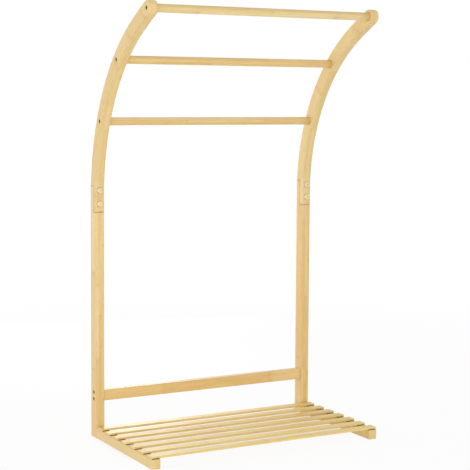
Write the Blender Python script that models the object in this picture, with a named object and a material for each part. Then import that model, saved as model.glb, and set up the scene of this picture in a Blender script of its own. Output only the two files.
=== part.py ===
"""Free-standing towel rack: curved arms, three round rails and a slatted shelf.

All lengths are in metres. X runs along the rails, Y from front to back, Z up.
The origin is on the floor, under the middle of the rack.
"""

import math

import bmesh
import bpy
from mathutils import Matrix, Vector

# Whole rack
OUTER_WIDTH = 0.500
OVERALL_DEPTH = 0.290
FIT_GAP = 0.0003
CUT_OVERRUN = 0.001
MERGE_DISTANCE = 0.000001

# Post and arm stock
POST_WIDTH = 0.018
POST_DEPTH = 0.028
STOCK_ROUNDING = 0.002
SAWN_SHARE = 0.25

# Half lap between each lower post and its arm
JOINT_HEIGHT = 0.4565
LAP_LENGTH = 0.052
LAP_BOLT_SHARES = (0.315, 0.83)

# Curved arm, measured on its back face and along its middle line
ARM_STRAIGHT = 0.0275
ARC_BACK_RADIUS = 0.396
ARC_SWEEP = math.radians(60)
TIP_BACK_RADIUS = 1.000
TIP_LENGTH = 0.068
ARC_STEPS = 20
TIP_STEPS = 3
CAP_STEPS = 10

# Towel rails, placed along the arm's middle line above the start of its arc
RAIL_DIAMETER = 0.016
RAIL_SOCKET_DEPTH = 0.009
RAIL_END_CHAMFER = 0.0008
RAIL_SIDES = 28
LOWER_RAIL_DISTANCE = 0.158
MIDDLE_RAIL_DISTANCE = 0.3035

# Low cross stretcher
STRETCHER_HEIGHT = 0.022
STRETCHER_THICKNESS = 0.018
STRETCHER_CENTRE_HEIGHT = 0.085
STRETCHER_SCREW_INSET = 0.0042

# Foot rails
FOOT_HEIGHT = 0.020
FOOT_SCREW_HEIGHT_SHARE = 0.30
FOOT_DOWEL_HEIGHT_SHARE = 0.70

# Shelf slats
SLAT_COUNT = 7
SLAT_WIDTH = 0.020
SLAT_THICKNESS = 0.004
SLAT_ROUNDING = 0.001
SLAT_END_SETBACK = 0.0005
FRONT_SLAT_SETBACK = 0.001
REAR_SLAT_SETBACK = 0.007

# Wood screws with a hex socket, sunk below the outer faces
SCREW_HEAD_DIAMETER = 0.0074
SCREW_HEAD_HEIGHT = 0.003
SCREW_SHANK_DIAMETER = 0.0045
SCREW_TIP_LENGTH = 0.003
SCREW_SOCKET_WIDTH = 0.004
SCREW_SOCKET_DEPTH = 0.002
SCREW_RECESS_DEPTH = 0.0042
RAIL_SCREW_GRIP = 0.024
STRETCHER_SCREW_GRIP = 0.022
FOOT_SCREW_GRIP = 0.030

# Lap bolts and the insert nuts that hold them
BOLT_HEAD_DIAMETER = 0.012
BOLT_HEAD_HEIGHT = 0.003
BOLT_HEAD_CHAMFER = 0.0006
BOLT_SHANK_DIAMETER = 0.006
BOLT_SOCKET_WIDTH = 0.005
BOLT_SOCKET_DEPTH = 0.002
BOLT_SEAT_DEPTH = 0.0015
BOLT_END_WALL = 0.002
NUT_DIAMETER = 0.009
NUT_BACK_WALL = 0.0025

# Locating dowels between posts and foot rails
DOWEL_DIAMETER = 0.006
DOWEL_LENGTH = 0.024
DOWEL_CHAMFER = 0.0006

# Slat brads
BRAD_DIAMETER = 0.0014
BRAD_HEAD_DIAMETER = 0.0024
BRAD_HEAD_HEIGHT = 0.0006
BRAD_GRIP = 0.008
BRAD_TIP_LENGTH = 0.001

# Sides of the turned solids and of the holes around them
HEAD_SIDES = 20
SHANK_SIDES = 12
BRAD_SIDES = 8
HEX_SIDES = 6
ROUNDING_STEPS = 2

# Places that several pieces share
BACK_Y = OVERALL_DEPTH / 2
POST_FRONT_Y = BACK_Y - POST_DEPTH
POST_MIDDLE_Y = BACK_Y - POST_DEPTH / 2
FRONT_Y = -OVERALL_DEPTH / 2
OUTER_X = OUTER_WIDTH / 2
INNER_X = OUTER_X - POST_WIDTH
POST_X = OUTER_X - POST_WIDTH / 2
LAP_TOP = JOINT_HEIGHT + LAP_LENGTH
ARC_START = JOINT_HEIGHT + ARM_STRAIGHT
ARC_MIDDLE_RADIUS = ARC_BACK_RADIUS - POST_DEPTH / 2
TIP_MIDDLE_RADIUS = TIP_BACK_RADIUS - POST_DEPTH / 2
ARC_LENGTH = ARC_MIDDLE_RADIUS * ARC_SWEEP
SCREW_HEAD_TOP = SCREW_RECESS_DEPTH - FIT_GAP - SCREW_HEAD_HEIGHT
SIDES = {"left": -1, "right": 1}
LEVELS = ("lower", "upper")
RAILS = {
    "lower": LOWER_RAIL_DISTANCE,
    "middle": MIDDLE_RAIL_DISTANCE,
    "top": ARC_LENGTH + TIP_LENGTH,
}

# Finishes, as linear colours
BAMBOO_COLOUR = (0.78, 0.56, 0.26, 1)
BAMBOO_SLAT_COLOUR = (0.82, 0.63, 0.33, 1)
BAMBOO_STRETCHER_COLOUR = (0.74, 0.49, 0.20, 1)
DOWEL_COLOUR = (0.72, 0.52, 0.30, 1)
ZINC_COLOUR = (0.62, 0.61, 0.58, 1)
DARK_STEEL_COLOUR = (0.12, 0.10, 0.08, 1)
BRAD_COLOUR = (0.45, 0.42, 0.36, 1)
WOOD_ROUGHNESS = 0.45
METAL_ROUGHNESS = 0.35


# Scene and materials

def clear_scene():
    for old in list(bpy.data.objects):
        bpy.data.objects.remove(old, do_unlink=True)


def make_material(name, colour, roughness, metallic):
    material = bpy.data.materials.new(name)
    material.use_nodes = True
    shader = material.node_tree.nodes["Principled BSDF"]
    shader.inputs["Base Color"].default_value = colour
    shader.inputs["Roughness"].default_value = roughness
    shader.inputs["Metallic"].default_value = metallic
    material.diffuse_color = colour
    return material


def wood(name, colour=BAMBOO_COLOUR):
    return make_material(name + "_bamboo", colour, WOOD_ROUGHNESS, 0)


def metal(name, colour):
    return make_material(name + "_metal", colour, METAL_ROUGHNESS, 1)


# Shapes

def add_object(name, shape, material=None):
    """Turn a bmesh into a named object of the scene."""
    bmesh.ops.recalc_face_normals(shape, faces=shape.faces)
    mesh = bpy.data.meshes.new(name)
    shape.to_mesh(mesh)
    shape.free()
    mesh.shade_smooth()
    mesh.set_sharp_from_angle(angle=math.radians(35))
    if material:
        mesh.materials.append(material)
    made = bpy.data.objects.new(name, mesh)
    bpy.context.scene.collection.objects.link(made)
    return made


def softness_layer(shape):
    return shape.edges.layers.float.new("bevel_weight_edge")


def soften(piece, rounding):
    """Round the edges that carry a softness share."""
    bevel = piece.modifiers.new("rounded edges", "BEVEL")
    bevel.limit_method = "WEIGHT"
    bevel.width = rounding
    bevel.segments = ROUNDING_STEPS


def prism(outline, x_middle, width):
    """Extrude an outline along X.

    Each outline corner is (y, z, run share, corner share): how much rounding
    the side edges from it to the next corner get, and the edge across it.
    """
    shape = bmesh.new()
    softness = softness_layer(shape)
    rings = []
    for x in (x_middle - width / 2, x_middle + width / 2):
        rings.append([shape.verts.new((x, y, z)) for y, z, _, _ in outline])
    for ring in rings:
        shape.faces.new(ring)
    for i, (_, _, run_share, corner_share) in enumerate(outline):
        j = (i + 1) % len(outline)
        shape.faces.new((rings[0][i], rings[0][j], rings[1][j], rings[1][i]))
        for ring in rings:
            shape.edges.get((ring[i], ring[j]))[softness] = run_share
        shape.edges.get((rings[0][i], rings[1][i]))[softness] = corner_share
    return shape


def block(low, high, grain):
    """A sawn bar: edges along the grain axis are rounded, its ends only broken."""
    shape = bmesh.new()
    softness = softness_layer(shape)
    size = Vector(high) - Vector(low)
    middle = (Vector(high) + Vector(low)) / 2
    place = Matrix.Translation(middle) @ Matrix.Diagonal((*size, 1))
    bmesh.ops.create_cube(shape, size=1, matrix=place)
    for edge in shape.edges:
        run = edge.verts[1].co - edge.verts[0].co
        along = abs(run[grain]) > size[grain] / 2
        edge[softness] = 1 if along else SAWN_SHARE
    return shape


def turned(profile, sides, closed=False):
    """Turn a (radius, height) profile about the Z axis."""
    shape = bmesh.new()
    verts = [shape.verts.new((radius, 0, height)) for radius, height in profile]
    edges = [shape.edges.new(pair) for pair in zip(verts, verts[1:])]
    if closed:
        edges.append(shape.edges.new((verts[-1], verts[0])))
    bmesh.ops.spin(
        shape, geom=verts + edges, cent=(0, 0, 0), axis=(0, 0, 1),
        steps=sides, angle=2 * math.pi, use_merge=True,
    )
    bmesh.ops.remove_doubles(shape, verts=shape.verts, dist=MERGE_DISTANCE)
    return shape


def add_turned(name, shape, place, material):
    """Place a turned solid with its base at a point and its axis along a direction."""
    start, direction = place
    piece = add_object(name, shape, material)
    piece.location = start
    piece.rotation_mode = "QUATERNION"
    piece.rotation_quaternion = Vector(direction).to_track_quat("Z", "Y")
    return piece


def pin_profile(diameter, length, chamfer):
    radius = diameter / 2
    return [
        (0, 0), (radius - chamfer, 0), (radius, chamfer),
        (radius, length - chamfer), (radius - chamfer, length), (0, length),
    ]


def screw_profile(head_diameter, head_height, shank_diameter, grip, tip):
    """A flat head and a pointed shank, measured from the top of the head."""
    head = head_diameter / 2
    shank = shank_diameter / 2
    end = head_height + grip
    return [
        (0, 0), (head, 0), (head, head_height), (shank, head_height),
        (shank, end - tip), (0, end),
    ]


# Cuts

def cut(piece, name, shape):
    """Subtract a hidden cutter from a piece."""
    cutter = add_object(name, shape)
    cutter.hide_render = True
    cutter.display_type = "WIRE"
    boolean = piece.modifiers.new(name, "BOOLEAN")
    boolean.operation = "DIFFERENCE"
    boolean.object = cutter


def drill(piece, name, diameter, lines, sides):
    """Cut round holes, one along each (start, end) line."""
    shape = bmesh.new()
    for start, end in lines:
        run = Vector(end) - Vector(start)
        facing = run.to_track_quat("Z", "Y").to_matrix().to_4x4()
        middle = Matrix.Translation((Vector(start) + Vector(end)) / 2)
        bmesh.ops.create_cone(
            shape, cap_ends=True, segments=sides, radius1=diameter / 2,
            radius2=diameter / 2, depth=run.length,
            matrix=middle @ facing,
        )
    cut(piece, piece.name + "_" + name, shape)


def hex_socket(piece, place, width, depth):
    """Cut a hex drive socket into a head; width is across the flats."""
    start, direction = place
    axis = Vector(direction)
    line = (Vector(start) - axis * CUT_OVERRUN, Vector(start) + axis * depth)
    corners = width / math.cos(math.pi / HEX_SIDES)
    drill(piece, "hex_socket", corners, [line], HEX_SIDES)


def sink_screws(piece, places, reach):
    """Cut the recess and the shank hole of each sunk screw into one piece.

    Each place is the point on the outer face above the screw and the way in.
    """
    recesses = []
    shanks = []
    for face, direction in places:
        axis = Vector(direction)
        outside = Vector(face) - axis * CUT_OVERRUN
        recesses.append((outside, Vector(face) + axis * SCREW_RECESS_DEPTH))
        shanks.append((outside, Vector(face) + axis * reach))
    drill(piece, "screw_recess", SCREW_HEAD_DIAMETER + 2 * FIT_GAP, recesses, HEAD_SIDES)
    drill(piece, "screw_hole", SCREW_SHANK_DIAMETER + 2 * FIT_GAP, shanks, SHANK_SIDES)


def pilot_holes(piece, places, depth):
    """Cut screw pilot holes, each from a point on an end face along a direction."""
    lines = []
    for face, direction in places:
        axis = Vector(direction)
        lines.append((Vector(face) - axis * CUT_OVERRUN, Vector(face) + axis * depth))
    drill(piece, "pilot_hole", SCREW_SHANK_DIAMETER + 2 * FIT_GAP, lines, SHANK_SIDES)


# The arm's middle line

def outward(lean):
    """Unit (y, z) pointing to the arm's back face where it leans by this angle."""
    return Vector((math.cos(lean), math.sin(lean)))


def arm_place(distance):
    """Middle-line point (y, z) and lean, this far past the start of the arc."""
    lean = min(distance, ARC_LENGTH) / ARC_MIDDLE_RADIUS
    arc_centre = Vector((BACK_Y - ARC_BACK_RADIUS, ARC_START))
    place = arc_centre + outward(lean) * ARC_MIDDLE_RADIUS
    if distance > ARC_LENGTH:
        tip_centre = place - outward(lean) * TIP_MIDDLE_RADIUS
        lean += (distance - ARC_LENGTH) / TIP_MIDDLE_RADIUS
        place = tip_centre + outward(lean) * TIP_MIDDLE_RADIUS
    return place, lean


def arm_distances():
    """Distances along the middle line at which the arm's outline has points."""
    arc = [ARC_LENGTH * i / ARC_STEPS for i in range(ARC_STEPS + 1)]
    tip = [ARC_LENGTH + TIP_LENGTH * (i + 1) / TIP_STEPS for i in range(TIP_STEPS)]
    return arc + tip


def shoulder_back_y(height):
    """Where the arm's back face is at a height near the start of the arc."""
    rise = max(0, height - ARC_START)
    return BACK_Y - ARC_BACK_RADIUS + math.sqrt(ARC_BACK_RADIUS ** 2 - rise ** 2)


def rail_centres():
    """Name and (y, z) of each towel rail."""
    return {name: arm_place(distance)[0] for name, distance in RAILS.items()}


# Posts and arms

def post_outline():
    lap_face = POST_MIDDLE_Y + FIT_GAP / 2
    return [
        (POST_FRONT_Y, 0, 1, SAWN_SHARE),
        (POST_FRONT_Y, JOINT_HEIGHT, SAWN_SHARE, SAWN_SHARE),
        (lap_face, JOINT_HEIGHT, 0, 0),
        (lap_face, LAP_TOP, SAWN_SHARE, 0),
        (BACK_Y, LAP_TOP, 1, SAWN_SHARE),
        (BACK_Y, 0, SAWN_SHARE, SAWN_SHARE),
    ]


def arm_outline():
    """Up the front face, round the end and down the back to the lap."""
    half = POST_DEPTH / 2
    lap_face = POST_MIDDLE_Y - FIT_GAP / 2
    foot = JOINT_HEIGHT + FIT_GAP
    shoulder = LAP_TOP + FIT_GAP
    frames = [arm_place(distance) for distance in arm_distances()]
    outline = [(POST_FRONT_Y, foot, 1, SAWN_SHARE)]
    outline += [(*(place - outward(lean) * half), 1, 0) for place, lean in frames]
    end, lean = frames[-1]
    ahead = outward(lean + math.pi / 2)
    for i in range(1, CAP_STEPS):
        turn = math.pi * i / CAP_STEPS
        around = ahead * math.sin(turn) - outward(lean) * math.cos(turn)
        outline.append((*(end + around * half), 1, 0))
    for place, lean in reversed(frames):
        y, z = place + outward(lean) * half
        if z > shoulder + STOCK_ROUNDING:
            outline.append((y, z, 1, 0))
    outline += [
        (shoulder_back_y(shoulder), shoulder, SAWN_SHARE, SAWN_SHARE),
        (lap_face, shoulder, 0, 0),
        (lap_face, foot, SAWN_SHARE, 0),
    ]
    return outline


def lap_bolt_heights():
    return [JOINT_HEIGHT + LAP_LENGTH * share for share in LAP_BOLT_SHARES]


def make_lower_post(name, side):
    post = add_object(name, prism(post_outline(), side * POST_X, POST_WIDTH), wood(name))
    soften(post, STOCK_ROUNDING)
    nut_lines = []
    for height in lap_bolt_heights():
        mouth = (side * POST_X, POST_MIDDLE_Y - CUT_OVERRUN, height)
        nut_lines.append((mouth, (side * POST_X, BACK_Y - NUT_BACK_WALL, height)))
    drill(post, "nut_hole", NUT_DIAMETER + 2 * FIT_GAP, nut_lines, HEAD_SIDES)
    sunk = [*stretcher_screw_places(side).values(), foot_screw_place(side)]
    sink_screws(post, sunk, POST_DEPTH + CUT_OVERRUN)
    dowel_end = POST_FRONT_Y + DOWEL_LENGTH / 2 + FIT_GAP
    dowel_line = (
        (side * POST_X, POST_FRONT_Y - CUT_OVERRUN, dowel_height()),
        (side * POST_X, dowel_end, dowel_height()),
    )
    drill(post, "dowel_hole", DOWEL_DIAMETER + 2 * FIT_GAP, [dowel_line], SHANK_SIDES)


def make_arm(name, side):
    arm = add_object(name, prism(arm_outline(), side * POST_X, POST_WIDTH), wood(name))
    soften(arm, STOCK_ROUNDING)
    sockets = []
    for y, z in rail_centres().values():
        sockets.append((
            (side * (INNER_X - CUT_OVERRUN), y, z),
            (side * (INNER_X + RAIL_SOCKET_DEPTH), y, z),
        ))
    drill(arm, "rail_socket", RAIL_DIAMETER + 2 * FIT_GAP, sockets, RAIL_SIDES)
    sink_screws(arm, rail_screw_places(side).values(), POST_WIDTH)
    seats = []
    shanks = []
    for height in lap_bolt_heights():
        outside = (side * POST_X, POST_FRONT_Y - POST_DEPTH, height)
        seats.append((outside, (side * POST_X, POST_FRONT_Y + BOLT_SEAT_DEPTH, height)))
        shanks.append((outside, (side * POST_X, POST_MIDDLE_Y + CUT_OVERRUN, height)))
    drill(arm, "bolt_seat", BOLT_HEAD_DIAMETER + 2 * FIT_GAP, seats, HEAD_SIDES)
    drill(arm, "bolt_hole", BOLT_SHANK_DIAMETER + 2 * FIT_GAP, shanks, SHANK_SIDES)


# Towel rails and stretcher

def rail_end_x():
    return INNER_X + RAIL_SOCKET_DEPTH - FIT_GAP


def rail_screw_web():
    """Web of the arm between the screw recess and the rail, with the gaps."""
    return POST_WIDTH - SCREW_RECESS_DEPTH - RAIL_SOCKET_DEPTH + 2 * FIT_GAP


def make_rail(name, centre):
    y, z = centre
    length = 2 * rail_end_x()
    shape = turned(pin_profile(RAIL_DIAMETER, length, RAIL_END_CHAMFER), RAIL_SIDES)
    rail = add_turned(name, shape, ((-rail_end_x(), y, z), (1, 0, 0)), wood(name))
    pilots = [((side * rail_end_x(), y, z), (-side, 0, 0)) for side in SIDES.values()]
    pilot_holes(rail, pilots, RAIL_SCREW_GRIP + FIT_GAP)


def stretcher_end_x():
    return INNER_X - FIT_GAP


def stretcher_screw_heights():
    reach = STRETCHER_HEIGHT / 2 - STRETCHER_SCREW_INSET
    return [STRETCHER_CENTRE_HEIGHT - reach, STRETCHER_CENTRE_HEIGHT + reach]


def make_stretcher(name):
    half_height = STRETCHER_HEIGHT / 2
    half_thickness = STRETCHER_THICKNESS / 2
    low = (-stretcher_end_x(), POST_MIDDLE_Y - half_thickness, STRETCHER_CENTRE_HEIGHT - half_height)
    high = (stretcher_end_x(), POST_MIDDLE_Y + half_thickness, STRETCHER_CENTRE_HEIGHT + half_height)
    stretcher = add_object(name, block(low, high, 0), wood(name, BAMBOO_STRETCHER_COLOUR))
    soften(stretcher, STOCK_ROUNDING)
    pilots = []
    for side in SIDES.values():
        for height in stretcher_screw_heights():
            face = (side * stretcher_end_x(), POST_MIDDLE_Y, height)
            pilots.append((face, (-side, 0, 0)))
    pilot_holes(stretcher, pilots, STRETCHER_SCREW_GRIP + FIT_GAP)


# Foot rails and shelf

def foot_back_y():
    return POST_FRONT_Y - FIT_GAP


def foot_screw_height():
    return FOOT_HEIGHT * FOOT_SCREW_HEIGHT_SHARE


def dowel_height():
    return FOOT_HEIGHT * FOOT_DOWEL_HEIGHT_SHARE


def slat_middles():
    """Y of each slat's middle, from the front slat to the rear one."""
    first = FRONT_Y + FRONT_SLAT_SETBACK + SLAT_WIDTH / 2
    last = POST_FRONT_Y - REAR_SLAT_SETBACK - SLAT_WIDTH / 2
    return [first + (last - first) * i / (SLAT_COUNT - 1) for i in range(SLAT_COUNT)]


def brad_lines(depth):
    """Lines of the brads on one side, from above the slats down to a depth in the foot."""
    top = FOOT_HEIGHT + SLAT_THICKNESS + CUT_OVERRUN
    return [((y, top), (y, FOOT_HEIGHT - depth)) for y in slat_middles()]


def make_foot(name, side):
    low = (side * POST_X - POST_WIDTH / 2, FRONT_Y, 0)
    high = (side * POST_X + POST_WIDTH / 2, foot_back_y(), FOOT_HEIGHT)
    foot = add_object(name, block(low, high, 1), wood(name))
    soften(foot, STOCK_ROUNDING)
    end = (side * POST_X, foot_back_y(), foot_screw_height())
    pilot_holes(foot, [(end, (0, -1, 0))], FOOT_SCREW_GRIP + FIT_GAP)
    dowel_line = (
        (side * POST_X, foot_back_y() + CUT_OVERRUN, dowel_height()),
        (side * POST_X, POST_FRONT_Y - DOWEL_LENGTH / 2 - FIT_GAP, dowel_height()),
    )
    drill(foot, "dowel_hole", DOWEL_DIAMETER + 2 * FIT_GAP, [dowel_line], SHANK_SIDES)
    lines = []
    for (top_y, top_z), (low_y, low_z) in brad_lines(BRAD_GRIP + FIT_GAP):
        lines.append(((side * POST_X, top_y, top_z), (side * POST_X, low_y, low_z)))
    drill(foot, "brad_hole", BRAD_DIAMETER + 2 * FIT_GAP, lines, BRAD_SIDES)


def make_slat(name, middle_y):
    bottom = FOOT_HEIGHT + FIT_GAP
    end_x = OUTER_X - SLAT_END_SETBACK
    low = (-end_x, middle_y - SLAT_WIDTH / 2, bottom)
    high = (end_x, middle_y + SLAT_WIDTH / 2, bottom + SLAT_THICKNESS)
    slat = add_object(name, block(low, high, 0), wood(name, BAMBOO_SLAT_COLOUR))
    soften(slat, SLAT_ROUNDING)
    top = high[2]
    heads = []
    shanks = []
    for side in SIDES.values():
        outside = (side * POST_X, middle_y, top + CUT_OVERRUN)
        heads.append((outside, (side * POST_X, middle_y, top - BRAD_HEAD_HEIGHT - FIT_GAP)))
        shanks.append((outside, (side * POST_X, middle_y, bottom - CUT_OVERRUN)))
    drill(slat, "brad_seat", BRAD_HEAD_DIAMETER + 2 * FIT_GAP, heads, BRAD_SIDES)
    drill(slat, "brad_hole", BRAD_DIAMETER + 2 * FIT_GAP, shanks, BRAD_SIDES)


# Fasteners

def rail_screw_places(side):
    """Points on an arm's outer face above the rail screws, and the way in."""
    places = {}
    for rail, (y, z) in rail_centres().items():
        places[rail] = ((side * OUTER_X, y, z), (-side, 0, 0))
    return places


def stretcher_screw_places(side):
    places = {}
    for level, height in zip(LEVELS, stretcher_screw_heights()):
        places[level] = ((side * OUTER_X, POST_MIDDLE_Y, height), (-side, 0, 0))
    return places


def foot_screw_place(side):
    return (side * POST_X, BACK_Y, foot_screw_height()), (0, -1, 0)


def make_sunk_screw(name, face_place, reach):
    """A screw whose head lies in a recess; reach is its shank's whole length."""
    face, direction = face_place
    place = (Vector(face) + Vector(direction) * SCREW_HEAD_TOP, direction)
    profile = screw_profile(
        SCREW_HEAD_DIAMETER, SCREW_HEAD_HEIGHT, SCREW_SHANK_DIAMETER, reach, SCREW_TIP_LENGTH
    )
    shape = turned(profile, SHANK_SIDES)
    screw = add_turned(name, shape, place, metal(name, DARK_STEEL_COLOUR))
    hex_socket(screw, place, SCREW_SOCKET_WIDTH, SCREW_SOCKET_DEPTH)


def make_lap_bolt(name, side, height):
    head_top = POST_FRONT_Y + BOLT_SEAT_DEPTH - FIT_GAP - BOLT_HEAD_HEIGHT
    length = BACK_Y - NUT_BACK_WALL - BOLT_END_WALL - head_top
    head = BOLT_HEAD_DIAMETER / 2
    shank = BOLT_SHANK_DIAMETER / 2
    profile = [
        (0, 0), (head - BOLT_HEAD_CHAMFER, 0), (head, BOLT_HEAD_CHAMFER),
        (head, BOLT_HEAD_HEIGHT), (shank, BOLT_HEAD_HEIGHT),
        (shank, length - BOLT_HEAD_CHAMFER), (shank - BOLT_HEAD_CHAMFER, length), (0, length),
    ]
    place = ((side * POST_X, head_top, height), (0, 1, 0))
    bolt = add_turned(name, turned(profile, HEAD_SIDES), place, metal(name, ZINC_COLOUR))
    hex_socket(bolt, place, BOLT_SOCKET_WIDTH, BOLT_SOCKET_DEPTH)


def make_insert_nut(name, side, height):
    mouth = POST_MIDDLE_Y + FIT_GAP
    length = BACK_Y - NUT_BACK_WALL - FIT_GAP - mouth
    bore = BOLT_SHANK_DIAMETER / 2 + FIT_GAP
    outer = NUT_DIAMETER / 2
    profile = [(bore, 0), (outer, 0), (outer, length), (bore, length)]
    place = ((side * POST_X, mouth, height), (0, 1, 0))
    shape = turned(profile, HEAD_SIDES, closed=True)
    add_turned(name, shape, place, metal(name, ZINC_COLOUR))


def make_dowel(name, side):
    profile = pin_profile(DOWEL_DIAMETER, DOWEL_LENGTH, DOWEL_CHAMFER)
    start = POST_FRONT_Y - DOWEL_LENGTH / 2
    place = ((side * POST_X, start, dowel_height()), (0, 1, 0))
    add_turned(name, turned(profile, SHANK_SIDES), place, wood(name, DOWEL_COLOUR))


def make_brad(name, side, middle_y):
    profile = screw_profile(
        BRAD_HEAD_DIAMETER, BRAD_HEAD_HEIGHT, BRAD_DIAMETER,
        FIT_GAP + SLAT_THICKNESS - BRAD_HEAD_HEIGHT + BRAD_GRIP, BRAD_TIP_LENGTH,
    )
    top = FOOT_HEIGHT + FIT_GAP + SLAT_THICKNESS
    place = ((side * POST_X, middle_y, top), (0, 0, -1))
    add_turned(name, turned(profile, BRAD_SIDES), place, metal(name, BRAD_COLOUR))


def make_side_fasteners(side_name, side):
    """All the screws, bolts, nuts, dowels and brads of one side of the rack."""
    for level, height in zip(LEVELS, lap_bolt_heights()):
        make_lap_bolt(side_name + "_" + level + "_lap_bolt", side, height)
        make_insert_nut(side_name + "_" + level + "_insert_nut", side, height)
    rail_reach = rail_screw_web() + RAIL_SCREW_GRIP
    for rail, place in rail_screw_places(side).items():
        make_sunk_screw(side_name + "_" + rail + "_rail_screw", place, rail_reach)
    stretcher_reach = POST_WIDTH - SCREW_RECESS_DEPTH + 2 * FIT_GAP + STRETCHER_SCREW_GRIP
    for level, place in stretcher_screw_places(side).items():
        make_sunk_screw(side_name + "_" + level + "_stretcher_screw", place, stretcher_reach)
    foot_reach = POST_DEPTH - SCREW_RECESS_DEPTH + 2 * FIT_GAP + FOOT_SCREW_GRIP
    make_sunk_screw(side_name + "_foot_screw", foot_screw_place(side), foot_reach)
    make_dowel(side_name + "_foot_dowel", side)
    for i, middle_y in enumerate(slat_middles(), start=1):
        make_brad(side_name + "_slat_" + str(i) + "_brad", side, middle_y)


def main():
    clear_scene()
    for side_name, side in SIDES.items():
        make_lower_post(side_name + "_lower_post", side)
        make_arm(side_name + "_curved_arm", side)
        make_foot(side_name + "_foot_rail", side)
        make_side_fasteners(side_name, side)
    for rail_name, centre in rail_centres().items():
        make_rail(rail_name + "_towel_rail", centre)
    make_stretcher("cross_stretcher")
    for i, middle_y in enumerate(slat_middles(), start=1):
        make_slat("shelf_slat_" + str(i), middle_y)


main()
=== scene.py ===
"""Looks of a free-standing bamboo towel rack with curved arms and a slatted shelf.

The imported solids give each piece's place and outer size. Boards, rails, bolts,
screws and brads are rebuilt here as finer surfaces of the same form, each with
its own finish. The hidden insert nuts and dowels keep their solids and get a
finish. Lengths are in metres. X runs along the rails, Y from front to back, Z up.
"""

from __future__ import annotations

import logging
import math
from dataclasses import asdict, dataclass, field, replace
from enum import Enum
from typing import Sequence, Union

import bpy
import bmesh
import numpy as np
from mathutils import Matrix, Vector
from numpy.typing import NDArray


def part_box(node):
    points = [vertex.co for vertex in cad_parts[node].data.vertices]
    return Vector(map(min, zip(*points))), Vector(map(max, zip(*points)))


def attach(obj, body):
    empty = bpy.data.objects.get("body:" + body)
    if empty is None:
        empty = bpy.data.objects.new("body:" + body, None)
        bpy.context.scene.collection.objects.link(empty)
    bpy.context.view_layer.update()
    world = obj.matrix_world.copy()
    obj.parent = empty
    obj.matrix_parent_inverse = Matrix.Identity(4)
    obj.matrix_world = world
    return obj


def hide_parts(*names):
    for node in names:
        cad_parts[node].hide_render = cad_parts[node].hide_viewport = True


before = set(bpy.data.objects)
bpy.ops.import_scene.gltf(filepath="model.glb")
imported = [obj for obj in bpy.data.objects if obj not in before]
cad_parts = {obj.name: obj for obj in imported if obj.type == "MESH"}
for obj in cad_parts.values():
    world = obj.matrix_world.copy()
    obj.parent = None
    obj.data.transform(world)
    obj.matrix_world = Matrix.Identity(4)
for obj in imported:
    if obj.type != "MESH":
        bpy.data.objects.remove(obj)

LOG = logging.getLogger("towel_rack")
BODY = "root"

Array = NDArray[np.float64]
Colour = tuple[float, float, float]
Triple = tuple[float, float, float]
Range = tuple[float, float]
Value = Union[float, Triple, "Signal"]
WHITE: Colour = (1.0, 1.0, 1.0)

# Sizes and steps that several pieces share
FIT_GAP = 0.0003
CUT_OVERRUN = 0.001
MERGE_DISTANCE = 2e-6
SHARP_ANGLE = math.radians(40)
ARRIS_STEPS = 5
EASING_STEPS = 3
ROUND_SIDES = 72
HOLE_SIDES = 48
HEX_CORNER_SPACING = math.radians(60)
ARRIS_ATTRIBUTE = "arris"

# Directions of holes
TO_BACK = np.array([0.0, 1.0, 0.0])
TO_FRONT = np.array([0.0, -1.0, 0.0])
DOWN = np.array([0.0, 0.0, -1.0])


class Side(Enum):
    """Which side frame a piece belongs to; the value is the sign of its X."""

    LEFT = -1
    RIGHT = 1

    @property
    def label(self) -> str:
        """Name of the side as node names use it."""
        return self.name.lower()


class Facing(Enum):
    """The plane in which a board's outline is drawn.

    The value says which axis of the rack takes the outline's first
    coordinate, its second one, and the width.
    """

    SIDE = (1, 2, 0)
    FRONT = (0, 2, 1)


@dataclass(frozen=True)
class Box:
    """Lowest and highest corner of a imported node."""

    low: Array
    high: Array

    @classmethod
    def of(cls, node: str) -> Box:
        """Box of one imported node."""
        low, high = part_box(node)
        return cls(np.array(low), np.array(high))

    @property
    def middle(self) -> Array:
        """Centre of the box."""
        return (self.low + self.high) / 2

    @property
    def size(self) -> Array:
        """Extent of the box along each axis."""
        return self.high - self.low


# Surfaces


@dataclass(frozen=True)
class Shape:
    """A surface as arrays.

    Attributes:
        points: (n, 3) places.
        faces: corner numbers of each face.
        arris: (n,) one on a rounded arris, zero on the flats.
    """

    points: Array
    faces: list[list[int]]
    arris: Array

    def placed(self, start: Array, direction: Array) -> Shape:
        """Turn the Z axis to a direction and move the origin to a point.

        Args:
            start: where the origin goes.
            direction: where the Z axis points.

        Returns:
            The turned and moved shape.
        """
        turn = np.array(Vector(direction).to_track_quat("Z", "Y").to_matrix())
        return Shape(self.points @ turn.T + start, self.faces, self.arris)


@dataclass(frozen=True)
class Outline:
    """A closed outline whose arrises are rounded.

    Attributes:
        outer: (n, 2) points of the outline itself.
        inner: (n, 2) the same points moved in to where the flat side starts.
        reach: (n,) how far the rounding goes into the width.
    """

    outer: Array
    inner: Array
    reach: Array


def unit(vectors: Array) -> Array:
    """Vectors scaled to a length of one."""
    return vectors / np.linalg.norm(vectors, axis=-1, keepdims=True)


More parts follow.
